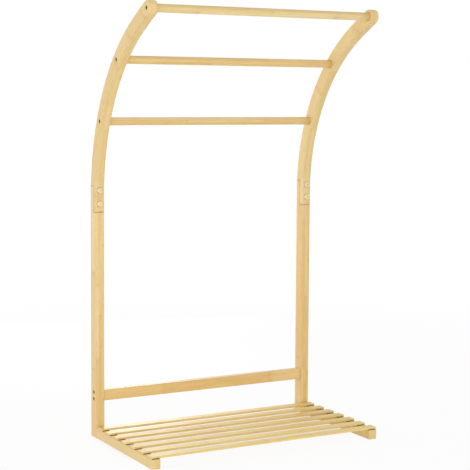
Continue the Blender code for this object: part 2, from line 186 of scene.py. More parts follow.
def arrised_outline(corners: Array, arris: Array, easing: Array) -> Outline:
    """Outline of a board from its corners.

    Each corner becomes an arc that touches both of its sides: its centre lies
    the easing radius inside both, and its points go round that centre from one
    side's normal to the other's. The inner point is where the two sides meet
    once each is moved in by its own arris radius.

    Args:
        corners: (k, 2) corner points, counter-clockwise.
        arris: (k,) arris radius of the side from each corner to the next.
        easing: (k,) radius of the arc at each corner, zero for a sharp one.

    Returns:
        The outline, with one point for a sharp corner.
    """
    ahead = unit(np.roll(corners, -1, axis=0) - corners)
    behind = np.roll(ahead, 1, axis=0)
    left_turn = np.array([[0.0, 1.0], [-1.0, 0.0]])
    in_ahead = ahead @ left_turn
    in_behind = behind @ left_turn
    arris_behind = np.roll(arris, 1)
    normals = np.stack([in_behind, in_ahead], axis=1)
    moves = np.stack([arris_behind, arris], axis=1)[..., None]
    inner = corners + np.linalg.solve(normals, moves)[..., 0]
    cross = behind[:, 0] * ahead[:, 1] - behind[:, 1] * ahead[:, 0]
    turn = np.arctan2(cross, np.sum(behind * ahead, axis=1))
    tangent = (easing * np.tan(turn / 2))[:, None]
    centre = corners - behind * tangent + in_behind * easing[:, None]
    share = np.linspace(0, 1, EASING_STEPS + 1)
    angle = np.arctan2(in_behind[:, 1], in_behind[:, 0])[:, None] + turn[:, None] * share
    spokes = np.stack([np.cos(angle), np.sin(angle)], axis=-1)
    outer = centre[:, None] - spokes * easing[:, None, None]
    reach = arris_behind[:, None] + (arris - arris_behind)[:, None] * share
    rounded = (easing > 0)[:, None]
    reach = np.where(rounded, reach, np.maximum(arris, arris_behind)[:, None])
    kept = rounded | (share == 0)[None]
    inner = np.broadcast_to(inner[:, None], outer.shape)
    return Outline(outer[kept], inner[kept], reach[kept])


def ring_faces(rings: int, around: int) -> list[list[int]]:
    """Four-cornered faces between neighbouring closed rings of points.

    Each face joins a point, the next one round its ring, and the same two of
    the ring that follows.

    Args:
        rings: how many rings there are.
        around: how many points each has.

    Returns:
        Corner numbers of each face.
    """
    ring, step = np.meshgrid(np.arange(rings - 1), np.arange(around), indexing="ij")
    start = ring * around
    after = (step + 1) % around
    corners = [start + step, start + after, start + around + after, start + around + step]
    return np.stack(corners, axis=-1).reshape(-1, 4).tolist()


def rounded_slab(outline: Outline, low: float, high: float, facing: Facing) -> Shape:
    """A board of one width, cut to an outline, with quarter-round arrises.

    Across the width a quarter circle takes each point from the flat side to
    the outline: the way in from the outline falls as one minus the sine of the
    turn, and the depth grows as one minus its cosine.

    Args:
        outline: the board's outline.
        low: where the width starts.
        high: where the width ends.
        facing: the plane of the outline.

    Returns:
        A closed surface.
    """
    turn = np.linspace(0, math.pi / 2, ARRIS_STEPS + 1)
    inward = (outline.inner - outline.outer)[None] * (1 - np.sin(turn))[:, None, None]
    plane = outline.outer[None] + inward
    depth = outline.reach[None] * (1 - np.cos(turn))[:, None]
    width = np.concatenate([low + depth, (high - depth)[::-1]])
    plane = np.concatenate([plane, plane[::-1]])
    softness = np.sin(2 * turn)
    softness = np.concatenate([softness, softness[::-1]])
    rings, around = width.shape
    points = np.empty((rings * around, 3))
    points[:, facing.value[:2]] = plane.reshape(-1, 2)
    points[:, facing.value[2]] = width.reshape(-1)
    faces = ring_faces(rings, around)
    faces.append(list(range(around)))
    faces.append(list(range((rings - 1) * around, rings * around)))
    arris = np.repeat(softness, around) * np.tile(outline.reach > 0, rings)
    return Shape(points, faces, arris)


def turned_shape(radius: Array, height: Array, sides: int, six: Array | None = None) -> Shape:
    """A shape turned about Z, with rings that may be six-sided.

    A six-sided ring's radius falls from its corner to its flat as the cosine
    of 30 degrees over the cosine of the angle from the middle of the flat.

    Args:
        radius: (n,) radius of each ring, to the corner where it is six-sided.
        height: (n,) height of each ring.
        sides: points round each ring.
        six: (n,) how six-sided each ring is, from zero to one.

    Returns:
        A closed surface.
    """
    angle = np.linspace(0, 2 * math.pi, sides, endpoint=False)
    half = HEX_CORNER_SPACING / 2
    hexagon = math.cos(half) / np.cos(angle % HEX_CORNER_SPACING - half)
    share = np.zeros_like(radius) if six is None else six
    reach = radius[:, None] * (1 + share[:, None] * (hexagon - 1)[None])
    rings = len(radius)
    points = np.stack(
        [reach * np.cos(angle), reach * np.sin(angle), np.repeat(height[:, None], sides, axis=1)],
        axis=-1,
    ).reshape(-1, 3)
    faces = ring_faces(rings, sides)
    faces.append(list(range(sides)))
    faces.append(list(range((rings - 1) * sides, rings * sides)))
    return Shape(points, faces, np.zeros(rings * sides))


def joined(shapes: Sequence[Shape]) -> Shape:
    """Several shapes as one, with their corner numbers moved on.

    Args:
        shapes: what is joined.

    Returns:
        The one shape.
    """
    starts = np.cumsum([0] + [len(shape.points) for shape in shapes[:-1]])
    faces = [
        [int(start) + corner for corner in face]
        for start, shape in zip(starts, shapes)
        for face in shape.faces
    ]
    points = np.concatenate([shape.points for shape in shapes])
    return Shape(points, faces, np.concatenate([shape.arris for shape in shapes]))


# Pieces


def merge_doubles(mesh: bpy.types.Mesh) -> None:
    """Merge a mesh's doubled points and turn its faces outwards.

    Args:
        mesh: what is changed.
    """
    work = bmesh.new()
    work.from_mesh(mesh)
    bmesh.ops.remove_doubles(work, verts=work.verts, dist=MERGE_DISTANCE)
    bmesh.ops.recalc_face_normals(work, faces=work.faces)
    work.to_mesh(mesh)
    work.free()


def new_piece(name: str, shape: Shape) -> bpy.types.Object:
    """Make an object from a shape, with doubles merged and faces outwards.

    Args:
        name: the object's name.
        shape: its surface.

    Returns:
        The object, at the origin.
    """
    mesh = bpy.data.meshes.new(name)
    mesh.from_pydata(shape.points.tolist(), [], shape.faces)
    softness = mesh.attributes.new(ARRIS_ATTRIBUTE, "FLOAT", "POINT")
    softness.data.foreach_set("value", shape.arris.astype(np.float32))
    merge_doubles(mesh)
    piece = bpy.data.objects.new(name, mesh)
    bpy.context.scene.collection.objects.link(piece)
    return piece


def apply_modifiers(piece: bpy.types.Object) -> None:
    """Put the result of a piece's modifiers into its mesh.

    Args:
        piece: what is changed.
    """
    depsgraph = bpy.context.evaluated_depsgraph_get()
    finished = bpy.data.meshes.new_from_object(
        piece.evaluated_get(depsgraph), preserve_all_data_layers=True, depsgraph=depsgraph
    )
    worn_out = piece.data
    piece.modifiers.clear()
    piece.data = finished
    finished.name = piece.name
    bpy.data.meshes.remove(worn_out)


def carve(piece: bpy.types.Object, holes: Sequence[Shape]) -> None:
    """Cut closed shapes out of a piece.

    Args:
        piece: what is cut.
        holes: shapes that don't meet each other.
    """
    tool = new_piece(piece.name + "_holes", joined(holes))
    boolean = piece.modifiers.new("holes", "BOOLEAN")
    boolean.operation = "DIFFERENCE"
    boolean.solver = "EXACT"
    boolean.object = tool
    apply_modifiers(piece)
    merge_doubles(piece.data)
    bpy.data.objects.remove(tool, do_unlink=True)


def smooth(piece: bpy.types.Object) -> None:
    """Shade a piece smooth, with its flats flat and its cut edges sharp.

    Args:
        piece: what is changed.
    """
    piece.data.shade_smooth()
    piece.data.set_sharp_from_angle(angle=SHARP_ANGLE)
    weighted = piece.modifiers.new("flat faces", "WEIGHTED_NORMAL")
    weighted.keep_sharp = True
    apply_modifiers(piece)


def dress(piece: bpy.types.Object, node: str, slot: str, material: bpy.types.Material) -> None:
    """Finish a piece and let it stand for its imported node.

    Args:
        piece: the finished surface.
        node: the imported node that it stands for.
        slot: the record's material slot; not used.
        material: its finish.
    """
    smooth(piece)
    piece.data.materials.clear()
    piece.data.materials.append(material)
    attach(piece, BODY)
    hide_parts(node)
    LOG.info("%s: %d faces, %s", piece.name, len(piece.data.polygons), material.name)


# Node writing


def spaced(title: str) -> str:
    """A socket's name from a keyword, with spaces for underscores."""
    return title.replace("_", " ")


class Signal:
    """A node's output, with the sums that can be done on it.

    Each sum adds a Math node to the same tree.
    """

    def __init__(self, write: NodeWriter, socket: bpy.types.NodeSocket) -> None:
        """Hold a socket and the writer of its tree."""
        self.write = write
        self.socket = socket

    def __add__(self, other: Value) -> Signal:
        """This and the other."""
        return self.write.maths("ADD", self, other)

    def __sub__(self, other: Value) -> Signal:
        """This less the other."""
        return self.write.maths("SUBTRACT", self, other)

    def __rsub__(self, other: Value) -> Signal:
        """The other less this."""
        return self.write.maths("SUBTRACT", other, self)

    def __mul__(self, other: Value) -> Signal:
        """This times the other."""
        return self.write.maths("MULTIPLY", self, other)

    def __truediv__(self, other: Value) -> Signal:
        """This over the other."""
        return self.write.maths("DIVIDE", self, other)

    def __abs__(self) -> Signal:
        """This without its sign."""
        return self.write.maths("ABSOLUTE", self)

    def eased(self, low: Value, high: Value, start: float = 0.0, end: float = 1.0) -> Signal:
        """This mapped smoothly from one range to another.

        Args:
            low: where the first range starts.
            high: where it ends.
            start: result at low.
            end: result at high.

        Returns:
            The result.
        """
        node = self.write.add("ShaderNodeMapRange", interpolation_type="SMOOTHSTEP")
        entries = {"Value": self, "From Min": low, "From Max": high, "To Min": start, "To Max": end}
        for name, entry in entries.items():
            self.write.feed(node.inputs[name], entry)
        return Signal(self.write, node.outputs["Result"])

    def faded(self, low: Value, high: Value) -> Signal:
        """One below a range and zero above it, eased between."""
        return self.eased(low, high, 1.0, 0.0)


class NodeWriter:
    """Adds and joins shader nodes in one tree."""

    columns = 12
    spacing = (200, -220)

    def __init__(self, tree: bpy.types.NodeTree) -> None:
        """Start writing in a tree."""
        self.tree = tree
        self.count = 0

    def add(self, kind: str, **settings: object) -> bpy.types.Node:
        """Add a node.

        Args:
            kind: the node's type name.
            settings: properties to set on it.

        Returns:
            The node.
        """
        node = self.tree.nodes.new(kind)
        for name, value in settings.items():
            setattr(node, name, value)
        row, column = divmod(self.count, self.columns)
        node.location = (self.spacing[0] * column, self.spacing[1] * row)
        self.count += 1
        return node

    def feed(self, socket: bpy.types.NodeSocket, value: Value) -> None:
        """Join a socket to a signal, or set its own value.

        Args:
            socket: what is fed.
            value: the signal or the value.
        """
        if isinstance(value, Signal):
            self.tree.links.new(value.socket, socket)
        elif socket.type == "RGBA":
            socket.default_value = (*value, 1.0)
        else:
            socket.default_value = value

    def signals(self, node: bpy.types.Node) -> dict[str, Signal]:
        """A node's outputs by their names."""
        return {socket.name: Signal(self, socket) for socket in node.outputs if socket.name}

    def fed(self, kind: str, values: Sequence[Value], **settings: object) -> dict[str, Signal]:
        """Add a node and feed its inputs in order.

        Args:
            kind: the node's type name.
            values: its inputs, in order.
            settings: properties to set on it.

        Returns:
            Its outputs by their names.
        """
        node = self.add(kind, **settings)
        for socket, value in zip(node.inputs, values):
            self.feed(socket, value)
        return self.signals(node)

    def maths(self, operation: str, *values: Value, clamp: bool = False) -> Signal:
        """Result of a Math node.

        Args:
            operation: what it does.
            values: its inputs, in order.
            clamp: keep the result from zero to one.

        Returns:
            The result.
        """
        return self.fed("ShaderNodeMath", values, operation=operation, use_clamp=clamp)["Value"]

    def vectors(self, operation: str, *values: Value) -> Signal:
        """Result of a Vector Math node, a vector or a plain value."""
        made = self.fed("ShaderNodeVectorMath", values, operation=operation)
        return made["Value" if operation in ("DOT_PRODUCT", "LENGTH") else "Vector"]

    def scaled(self, place: Value, scale: float) -> Signal:
        """A vector times a number."""
        return self.vectors("MULTIPLY", place, (scale, scale, scale))

    def axes(self, place: Value) -> list[Signal]:
        """The three parts of a vector."""
        return list(self.fed("ShaderNodeSeparateXYZ", [place]).values())

    def chance(self, *place: Value) -> dict[str, Signal]:
        """A random value and colour for each whole place."""
        point = self.fed("ShaderNodeCombineXYZ", place)["Vector"]
        return self.fed("ShaderNodeTexWhiteNoise", [point], noise_dimensions="3D")

    def noise(self, place: Value, detail: float = 2.0, rough: float = 0.5) -> Signal:
        """Value of a noise pattern of scale one.

        Args:
            place: where it is read.
            detail: how many finer layers it has.
            rough: how strong they are.

        Returns:
            The value, from zero to one.
        """
        node = self.add("ShaderNodeTexNoise", noise_dimensions="3D")
        entries = {"Vector": place, "Scale": 1.0, "Detail": detail, "Roughness": rough}
        for name, entry in entries.items():
            self.feed(node.inputs[name], entry)
        return Signal(self, node.outputs["Fac"])

    def mixed(self, share: Value, first: Value, second: Value) -> Signal:
        """A mix of two colours.

        Args:
            share: how much of the second colour.
            first: the colour at zero.
            second: the colour at one.

        Returns:
            The colour.
        """
        node = self.add("ShaderNodeMix", data_type="RGBA")
        sockets = {socket.identifier: socket for socket in (*node.inputs, *node.outputs)}
        for name, entry in (("Factor_Float", share), ("A_Color", first), ("B_Color", second)):
            self.feed(sockets[name], entry)
        return Signal(self, sockets["Result_Color"])

    def group(self, shared: bpy.types.NodeTree, **values: Value) -> dict[str, Signal]:
        """Place a shared group.

        Args:
            shared: the group's tree.
            values: its inputs, with underscores for spaces in their names.

        Returns:
            Its outputs by their names.
        """
        node = self.add("ShaderNodeGroup", node_tree=shared)
        for name, value in values.items():
            self.feed(node.inputs[spaced(name)], value)
        return self.signals(node)

    def seen_directly(self) -> Signal:
        """One for what the camera, a mirror or glass sees, zero for light on the rack.

        Returns:
            The one or zero.
        """
        path = self.signals(self.add("ShaderNodeLightPath"))
        seen = path["Is Camera Ray"] + path["Is Glossy Ray"]
        return self.maths("ADD", seen, path["Is Transmission Ray"], clamp=True)

    def blend_shaders(self, share: Value, first: bpy.types.Node, second: bpy.types.Node,
                      output: str) -> None:
        """Send a mix of two shaders to the tree's output.

        Args:
            share: how much of the second shader.
            first: the shader at zero.
            second: the shader at one.
            output: type name of the output node.
        """
        mix = self.add("ShaderNodeMixShader")
        self.feed(mix.inputs[0], share)
        self.tree.links.new(first.outputs[0], mix.inputs[1])
        self.tree.links.new(second.outputs[0], mix.inputs[2])
        self.tree.links.new(mix.outputs[0], self.add(output).inputs["Surface"])


class SharedGroup(NodeWriter):
    """A shared shader group in the making."""

    def __init__(self, name: str, **inputs: str) -> None:
        """Start a group.

        Args:
            name: the group's name.
            inputs: socket type of each input, with underscores for spaces in their names.
        """
        super().__init__(bpy.data.node_groups.new(name, "ShaderNodeTree"))
        for title, kind in inputs.items():
            self.tree.interface.new_socket(
                name=spaced(title), in_out="INPUT", socket_type="NodeSocket" + kind)
        self.given = self.signals(self.add("NodeGroupInput"))

    def closed(self, **outputs: Signal) -> bpy.types.NodeTree:
        """Name and feed the outputs, which are plain values.

        Args:
            outputs: the value of each, with underscores for spaces in their names.

        Returns:
            The finished group.
        """
        for title in outputs:
            self.tree.interface.new_socket(
                name=spaced(title), in_out="OUTPUT", socket_type="NodeSocketFloat")
        made = self.add("NodeGroupOutput")
        for title, signal in outputs.items():
            self.feed(made.inputs[spaced(title)], signal)
        return self.tree


class MaterialWriter(NodeWriter):
    """A material in the making, with its shader and its object coordinates."""

    def __init__(self, name: str) -> None:
        """Start a material.

        Args:
            name: the material's name.
        """
        self.material = bpy.data.materials.new(name)
        self.material.use_nodes = True
        super().__init__(self.material.node_tree)
        self.shader = self.tree.nodes["Principled BSDF"]
        self.coordinates = self.signals(self.add("ShaderNodeTexCoord"))

    def dial(self, name: str, value: Value) -> None:
        """Feed or set one of the shader's sockets."""
        self.feed(self.shader.inputs[name], value)

    def place(self, location: Sequence[float], rotation: Sequence[float] = (0.0, 0.0, 0.0)) -> Signal:
        """Object coordinates, turned and then moved."""
        return self.fed("ShaderNodeMapping", [self.coordinates["Object"], location, rotation],
                        vector_type="POINT")["Vector"]

    def relief(self, height: Signal, strength: float, distance: float) -> None:
        """Give the shader a fine relief.

        Args:
            height: how high each place stands.
            strength: how clearly it shows.
            distance: the height that a value of one stands for.
        """
        bump = self.add("ShaderNodeBump")
        for name, value in (("Strength", strength), ("Distance", distance), ("Height", height)):
            self.feed(bump.inputs[name], value)
        self.dial("Normal", Signal(self, bump.outputs["Normal"]))


# Shared effects


@dataclass(frozen=True)
class Streaks:
    """Noise drawn out along the grain.

    Attributes:
        lengthwise: its scale along the grain, per metre.
        crosswise: its scale across the grain, per metre.
        detail: how many finer layers it has.
    """

    lengthwise: float
    crosswise: float
    detail: float

    @property
    def scale(self) -> Triple:
        """Scale along, across and through a strip."""
        return (self.lengthwise, self.crosswise, self.crosswise)


@dataclass(frozen=True)
class StripEffect:
    """Glued bamboo strips: tone, fibres, growth marks and glue lines.

    The place is in strip coordinates: X along the grain, Y across a strip's
    width and Z through its thickness. The whole numbers of Y and Z over the
    strip's size tell the strips apart, and white noise gives each its tone,
    where its growth marks lie and which part of the fibre pattern it shows.
    The tone also steps at each growth mark, from one stretch to the next.
    A range is the pair of values between which something comes in, and a reach
    the pair of distances between which it fades.

    Attributes:
        pattern_spread: how far apart the strips' parts of the noise lie.
        inner_bundles: how clearly the bundles show on a strip's inner side.
        mark_scatter: how many spacings apart two strips' marks may lie.
        mark_spread: how much of its stretch a mark may lie in.
        mark_ragged: how far a mark strays along the grain.
        mark_bow: how far it bows per strip width in from the strip's side.
        mark_draws: what sets the draws for a mark and for a stretch apart.
        faint: how clearly a mark shows outside its clear parts.
        tone_shares: what the strip, the band, the stretch and the skin give to the tone.
        height_shares: what fibre, band, mark, bundle and glue line give to the height.
    """

    cloud: Streaks = Streaks(11.0, 70.0, 2.0)
    band: Streaks = Streaks(5.0, 330.0, 3.0)
    fine: Streaks = Streaks(24.0, 1500.0, 2.0)
    dashes: Streaks = Streaks(70.0, 2100.0, 1.0)
    rough: float = 0.6
    pattern_spread: float = 37.0
    glue_reach: Range = (0.00004, 0.00022)
    blush_range: Range = (0.52, 0.70)
    straw_range: Range = (0.30, 0.47)
    skin_range: Range = (0.1, 1.0)
    bundle_range: Range = (0.60, 0.72)
    inner_bundles: float = 0.4
    mark_scatter: float = 5.0
    mark_spread: float = 0.5
    mark_ragged: float = 0.003
    mark_bow: float = 0.004
    mark_draws: Range = (91.0, 53.0)
    clear_range: Range = (0.30, 0.62)
    faint: float = 0.25
    line_reach: Range = (0.0002, 0.0020)
    halo_reach: Range = (0.001, 0.012)
    tone_shares: tuple[float, ...] = (0.22, 0.38, 0.42, 0.10)
    height_shares: tuple[float, ...] = (0.5, 0.35, 0.5, -0.35, -0.4)

    def build(self) -> bpy.types.NodeTree:
        """Write the group.

        Returns:
            The group.
        """
        write = SharedGroup("bamboo strips", Place="Vector", Strip_Width="Float",
                            Strip_Thickness="Float", Mark_Spacing="Float", Seed="Float")
        place, width, thickness, spacing, seed = write.given.values()
        along, across, through = write.axes(place)
        row = across / width
        layer = through / thickness
        strip = write.chance(write.maths("FLOOR", row), write.maths("FLOOR", layer), seed)
        tone_draw, mark_draw, _ = write.fed("ShaderNodeSeparateColor", [strip["Color"]]).values()
        own_part = write.scaled(strip["Color"], self.pattern_spread)

        def noise(streaks: Streaks) -> Signal:
            """The strip's own part of a drawn-out noise."""
            drawn = write.vectors("MULTIPLY", place, streaks.scale)
            return write.noise(write.vectors("ADD", drawn, own_part), streaks.detail, self.rough)

        cloud, band, fine, dashes = map(noise, (self.cloud, self.band, self.fine, self.dashes))
        from_side = write.maths("PINGPONG", row, 0.5)
        from_face = write.maths("PINGPONG", layer, 0.5)
        from_edge = write.maths("MINIMUM", from_side * width, from_face * thickness)
        glue = from_edge.faded(*self.glue_reach)
        skin = write.maths("FRACT", layer).eased(*self.skin_range)
        bundles = dashes.eased(*self.bundle_range) * (
            skin * (1 - self.inner_bundles) + self.inner_bundles)

        run = along / spacing + mark_draw * self.mark_scatter
        whole = write.maths("FLOOR", run)
        mark_seed, stretch_seed = (mark_draw * factor for factor in self.mark_draws)
        centre = write.chance(whole, mark_seed, seed)["Value"]
        centre = centre * self.mark_spread + (1 - self.mark_spread) / 2
        away = (write.maths("FRACT", run) - centre) * spacing
        ragged = band * (2 * self.mark_ragged) - self.mark_ragged
        away = away + (ragged + from_side * self.mark_bow)
        past = whole + write.maths("GREATER_THAN", away, 0.0)
        stretch = write.chance(past, stretch_seed, seed)["Value"]
        clear = band.eased(*self.clear_range, self.faint, 1.0)
        line = abs(away).faded(*self.line_reach) * clear
        halo = abs(away).faded(*self.halo_reach) * clear

        def total(signals: Sequence[Signal], shares: Sequence[float]) -> Signal:
            """Signals times their shares, added up."""
            first, *others = (signal * share for signal, share in zip(signals, shares))
            return sum(others, start=first)

        return write.closed(
            Tone=total((tone_draw, band, stretch, skin), self.tone_shares),
            Blush=cloud.eased(*self.blush_range), Straw=cloud.faded(*self.straw_range),
            Fibre=fine, Vessel=bundles, Mark=line, Mark_Halo=halo, Glue_Line=glue,
            Height=total((fine, band, line, bundles, glue), self.height_shares))


@dataclass(frozen=True)
class EndGrainEffect:
    """Cut ends: how squarely a face cuts the grain, and the dots of its fibre bundles.

    The mask is the size of the normal's share along the grain, eased in above
    45 degrees. The dots are cells in the plane across the grain.

    Attributes:
        square_range: shares of the normal between which a face counts as cut.
        cell_scale: scale of the cells along and across the grain, per metre.
        dot_reach: distances from a cell's middle between which its dot fades.
    """

    square_range: Range = (0.72, 0.95)
    cell_scale: Triple = (60.0, 1500.0, 1500.0)
    dot_reach: Range = (0.15, 0.42)

    def build(self) -> bpy.types.NodeTree:
        """Write the group.

        Returns:
            The group.
        """
        write = SharedGroup("bamboo end grain", Place="Vector", Normal="Vector", Grain="Vector")
        share = write.vectors("DOT_PRODUCT", write.given["Normal"], write.given["Grain"])
        cells = write.add("ShaderNodeTexVoronoi", voronoi_dimensions="3D", feature="F1")
        place = write.vectors("MULTIPLY", write.given["Place"], self.cell_scale)
        write.feed(cells.inputs["Vector"], place)
        write.feed(cells.inputs["Scale"], 1.0)
        return write.closed(Mask=abs(share).eased(*self.square_range),
                            Dots=write.signals(cells)["Distance"].faded(*self.dot_reach))


@dataclass(frozen=True)
class ArrisEffect:
    """Rubbed arrises: the mesh's arris value, broken up by noise.

    Attributes:
        scale: scale of the noise, per metre.
        detail: how many finer layers it has.
        rough: how rough it is.
        patch_range: where in the noise the rubbed patches come in.
        least: how much of the wear is left between them.
    """

    scale: float = 90.0
    detail: float = 3.0
    rough: float = 0.6
    patch_range: Range = (0.38, 0.68)
    least: float = 0.3

    def build(self) -> bpy.types.NodeTree:
        """Write the group.

        Returns:
            The group.
        """
        write = SharedGroup("rubbed arrises", Arris="Float", Place="Vector")
        noise = write.noise(write.scaled(write.given["Place"], self.scale), self.detail, self.rough)
        patches = noise.eased(*self.patch_range)
        return write.closed(Wear=write.given["Arris"] * (patches * (1 - self.least) + self.least))


@dataclass(frozen=True)
class MachiningEffect:
    """Machined steel: rings round an axis and hair-fine scratches.

    The rings follow the distance from the axis, which is the length of the
    place once its share along the axis is taken out.

    Attributes:
        scratch_scale: scale of the scratches' noise along each axis, per metre.
        scratch_noise: its detail and roughness.
        cloud_scale: scale of the clouds' noise, per metre.
        cloud_noise: its detail and roughness.
    """

    scratch_scale: Triple = (900.0, 5200.0, 2600.0)
    scratch_range: Range = (0.55, 0.75)
    scratch_noise: Range = (2.0, 0.7)
    cloud_scale: float = 450.0
    cloud_noise: Range = (3.0, 0.6)

    def build(self) -> bpy.types.NodeTree:
        """Write the group.

        Returns:
            The group.
        """
        write = SharedGroup("machined steel", Place="Vector", Axis="Vector", Ring_Spacing="Float")
        place, axis = write.given["Place"], write.given["Axis"]
        along = write.vectors("MULTIPLY", axis, write.vectors("DOT_PRODUCT", place, axis))
        distance = write.vectors("LENGTH", write.vectors("SUBTRACT", place, along))
        drawn = write.vectors("MULTIPLY", place, self.scratch_scale)
        return write.closed(
            Rings=write.maths("PINGPONG", distance / write.given["Ring Spacing"], 1.0),
            Scratches=write.noise(drawn, *self.scratch_noise).eased(*self.scratch_range),
            Cloud=write.noise(write.scaled(place, self.cloud_scale), *self.cloud_noise))


# Lines and painted shade in joints


class Joint:
    """A joint that shows as a dark line, or for some joints as painted shade, drawn by a shared group
    of its own.
    """

    @staticmethod
    def build() -> bpy.types.NodeTree:
        """Write the group that draws this kind of joint."""
        raise NotImplementedError

    def inputs(self) -> dict[str, float]:
        """Values of the group's inputs."""
        return {name.title(): value for name, value in asdict(self).items()}


@dataclass(frozen=True)
class LapLine(Joint):
    """The dark line round a half lap, seen from the side.

    It has three runs: level at the foot's height in front of the cheek, up the
    cheek, and level at the shoulder's height behind it. The first and last are
    one: the height is compared with the foot's before the cheek and with the
    shoulder's after it.

    Attributes:
        foot: height of the gap below the arm's foot.
        shoulder: height of the gap above the post's top.
        cheek: how far back the gap between them lies.
        half_width: half the width of the dark line.
    """

    foot: float
    shoulder: float
    cheek: float
    half_width: float = 0.0006

    @staticmethod
    def build() -> bpy.types.NodeTree:
        """Write the group that draws the line.

        Returns:
            The group.
        """
        cheek_sharpness, edge_range = 1.6, (0.5, 1.3)
        ragged_scale, ragged = 700.0, 0.0002
        write = SharedGroup("half lap line", Place="Vector", Foot="Float", Shoulder="Float",
                            Cheek="Float", Half_Width="Float")
        given = write.given
        foot, shoulder, cheek = given["Foot"], given["Shoulder"], given["Cheek"]
        _, depth, height = write.axes(given["Place"])
        level = write.maths("GREATER_THAN", depth, cheek) * (shoulder - foot) + foot
        above = write.maths("GREATER_THAN", height, foot)
        inside = above * write.maths("LESS_THAN", height, shoulder)
        from_cheek = abs(depth - cheek) * cheek_sharpness + (1.0 - inside)
        nearest = write.maths("MINIMUM", abs(height - level), from_cheek)
        noise = write.noise(write.scaled(given["Place"], ragged_scale))
        gap = nearest + (noise * (2 * ragged) - ragged)
        return write.closed(Line=(gap / given["Half Width"]).faded(*edge_range))


@dataclass(frozen=True)
class SlatContactShadow(Joint):
    """Painted shadow where the slats' edges meet the foot rails.

    The distance to the nearest slat's edge is how far the distance to its
    middle differs from half its width; the middles repeat at the slats' pitch.
    It counts only near the height of the rails' tops and over the rails, and
    fades out towards the rails' outer faces.

    Attributes:
        first: Y of the first slat's middle.
        pitch: distance between the slats' middles.
        half: half a slat's width.
        height: height of the foot rails' tops.
        inner: how far out the foot rails start.
        outer: how far out they end.
    """

    first: float
    pitch: float
    half: float
    height: float
    inner: float
    outer: float

    @classmethod
    def of_shelf(cls) -> SlatContactShadow:
        """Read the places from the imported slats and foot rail.

        Returns:
            The shelf's contact.
        """
        first, second = Box.of("shelf_slat_1"), Box.of("shelf_slat_2")
        foot = Box.of("right_foot_rail")
        return cls(float(first.middle[1]), float(second.middle[1] - first.middle[1]),
                   float(first.size[1]) / 2, float(foot.high[2]), float(foot.low[0]),
                   float(foot.high[0]))

    @staticmethod
    def build() -> bpy.types.NodeTree:
        """Write the group that draws the line.

        Returns:
            The group.
        """
        edge_reach, rise_reach = (0.0006, 0.0030), (0.0006, 0.0016)
        inner_range, outer_range = (-0.002, 0.0), (0.0006, 0.0022)
        write = SharedGroup("slat contact shadow", Place="Vector", First="Float", Pitch="Float",
                            Half="Float", Height="Float", Inner="Float", Outer="Float")
        given = write.given
        sideways, depth, height = write.axes(given["Place"])
        half_pitch = given["Pitch"] * 0.5
        from_middle = write.maths("PINGPONG", depth - given["First"], half_pitch)
        line = abs(from_middle - given["Half"]).faded(*edge_reach)
        line = line * abs(height - given["Height"]).faded(*rise_reach)
        line = line * (abs(sideways) - given["Inner"]).eased(*inner_range)
        return write.closed(Line=line * (given["Outer"] - abs(sideways)).eased(*outer_range))


@dataclass(frozen=True)
class RailEndShade(Joint):
    """Painted shade round a rail where it enters an arm.

    It is full at the arms' inner faces and falls as the square of the share of
    its reach that is left. It is weaker at the left arm.

    Attributes:
        face: how far out the arms' inner faces lie.
        reach: how far from them the painted shade shows.
    """

    face: float
    reach: float = 0.03

    @staticmethod
    def build() -> bpy.types.NodeTree:
        """Write the group that paints the shade.

        Returns:
            The group.
        """
        lean_range, left_share = (-0.1, 0.1), 0.3
        write = SharedGroup("rail socket", Place="Vector", Face="Float", Reach="Float")
        sideways = write.axes(write.given["Place"])[0]
        short = write.given["Face"] - abs(sideways)
        near = write.maths("SUBTRACT", 1.0, short / write.given["Reach"], clamp=True)
        lean = sideways.eased(*lean_range, left_share, 1.0)
        return write.closed(Line=write.maths("POWER", near, 2.0) * lean)


class Effects:
    """The shader groups that several finishes share, each built once."""

    def __init__(self) -> None:
        """Build the groups."""
        self.strips = StripEffect().build()
        self.end_grain = EndGrainEffect().build()
        self.arrises = ArrisEffect().build()
        self.machining = MachiningEffect().build()
        self.joints = {kind: kind.build() for kind in (LapLine, SlatContactShadow, RailEndShade)}


# Finishes


@dataclass(frozen=True)
class Laying:
    """How the strips lie in a board.

    Attributes:
        along: direction of the grain.
        across: direction of a strip's width.
        box: the board's box; a glue line's place is reckoned from its middle.
    """

    along: Triple
    across: Triple
    box: Box

    @property
    def grain(self) -> Vector:
        """Unit vector along the grain."""
        return Vector(self.along).normalized()

    def turn(self) -> Matrix:
        """Matrix that takes the rack's axes to strip coordinates."""
        across = Vector(self.across).normalized()
        return Matrix((self.grain, across, self.grain.cross(across)))


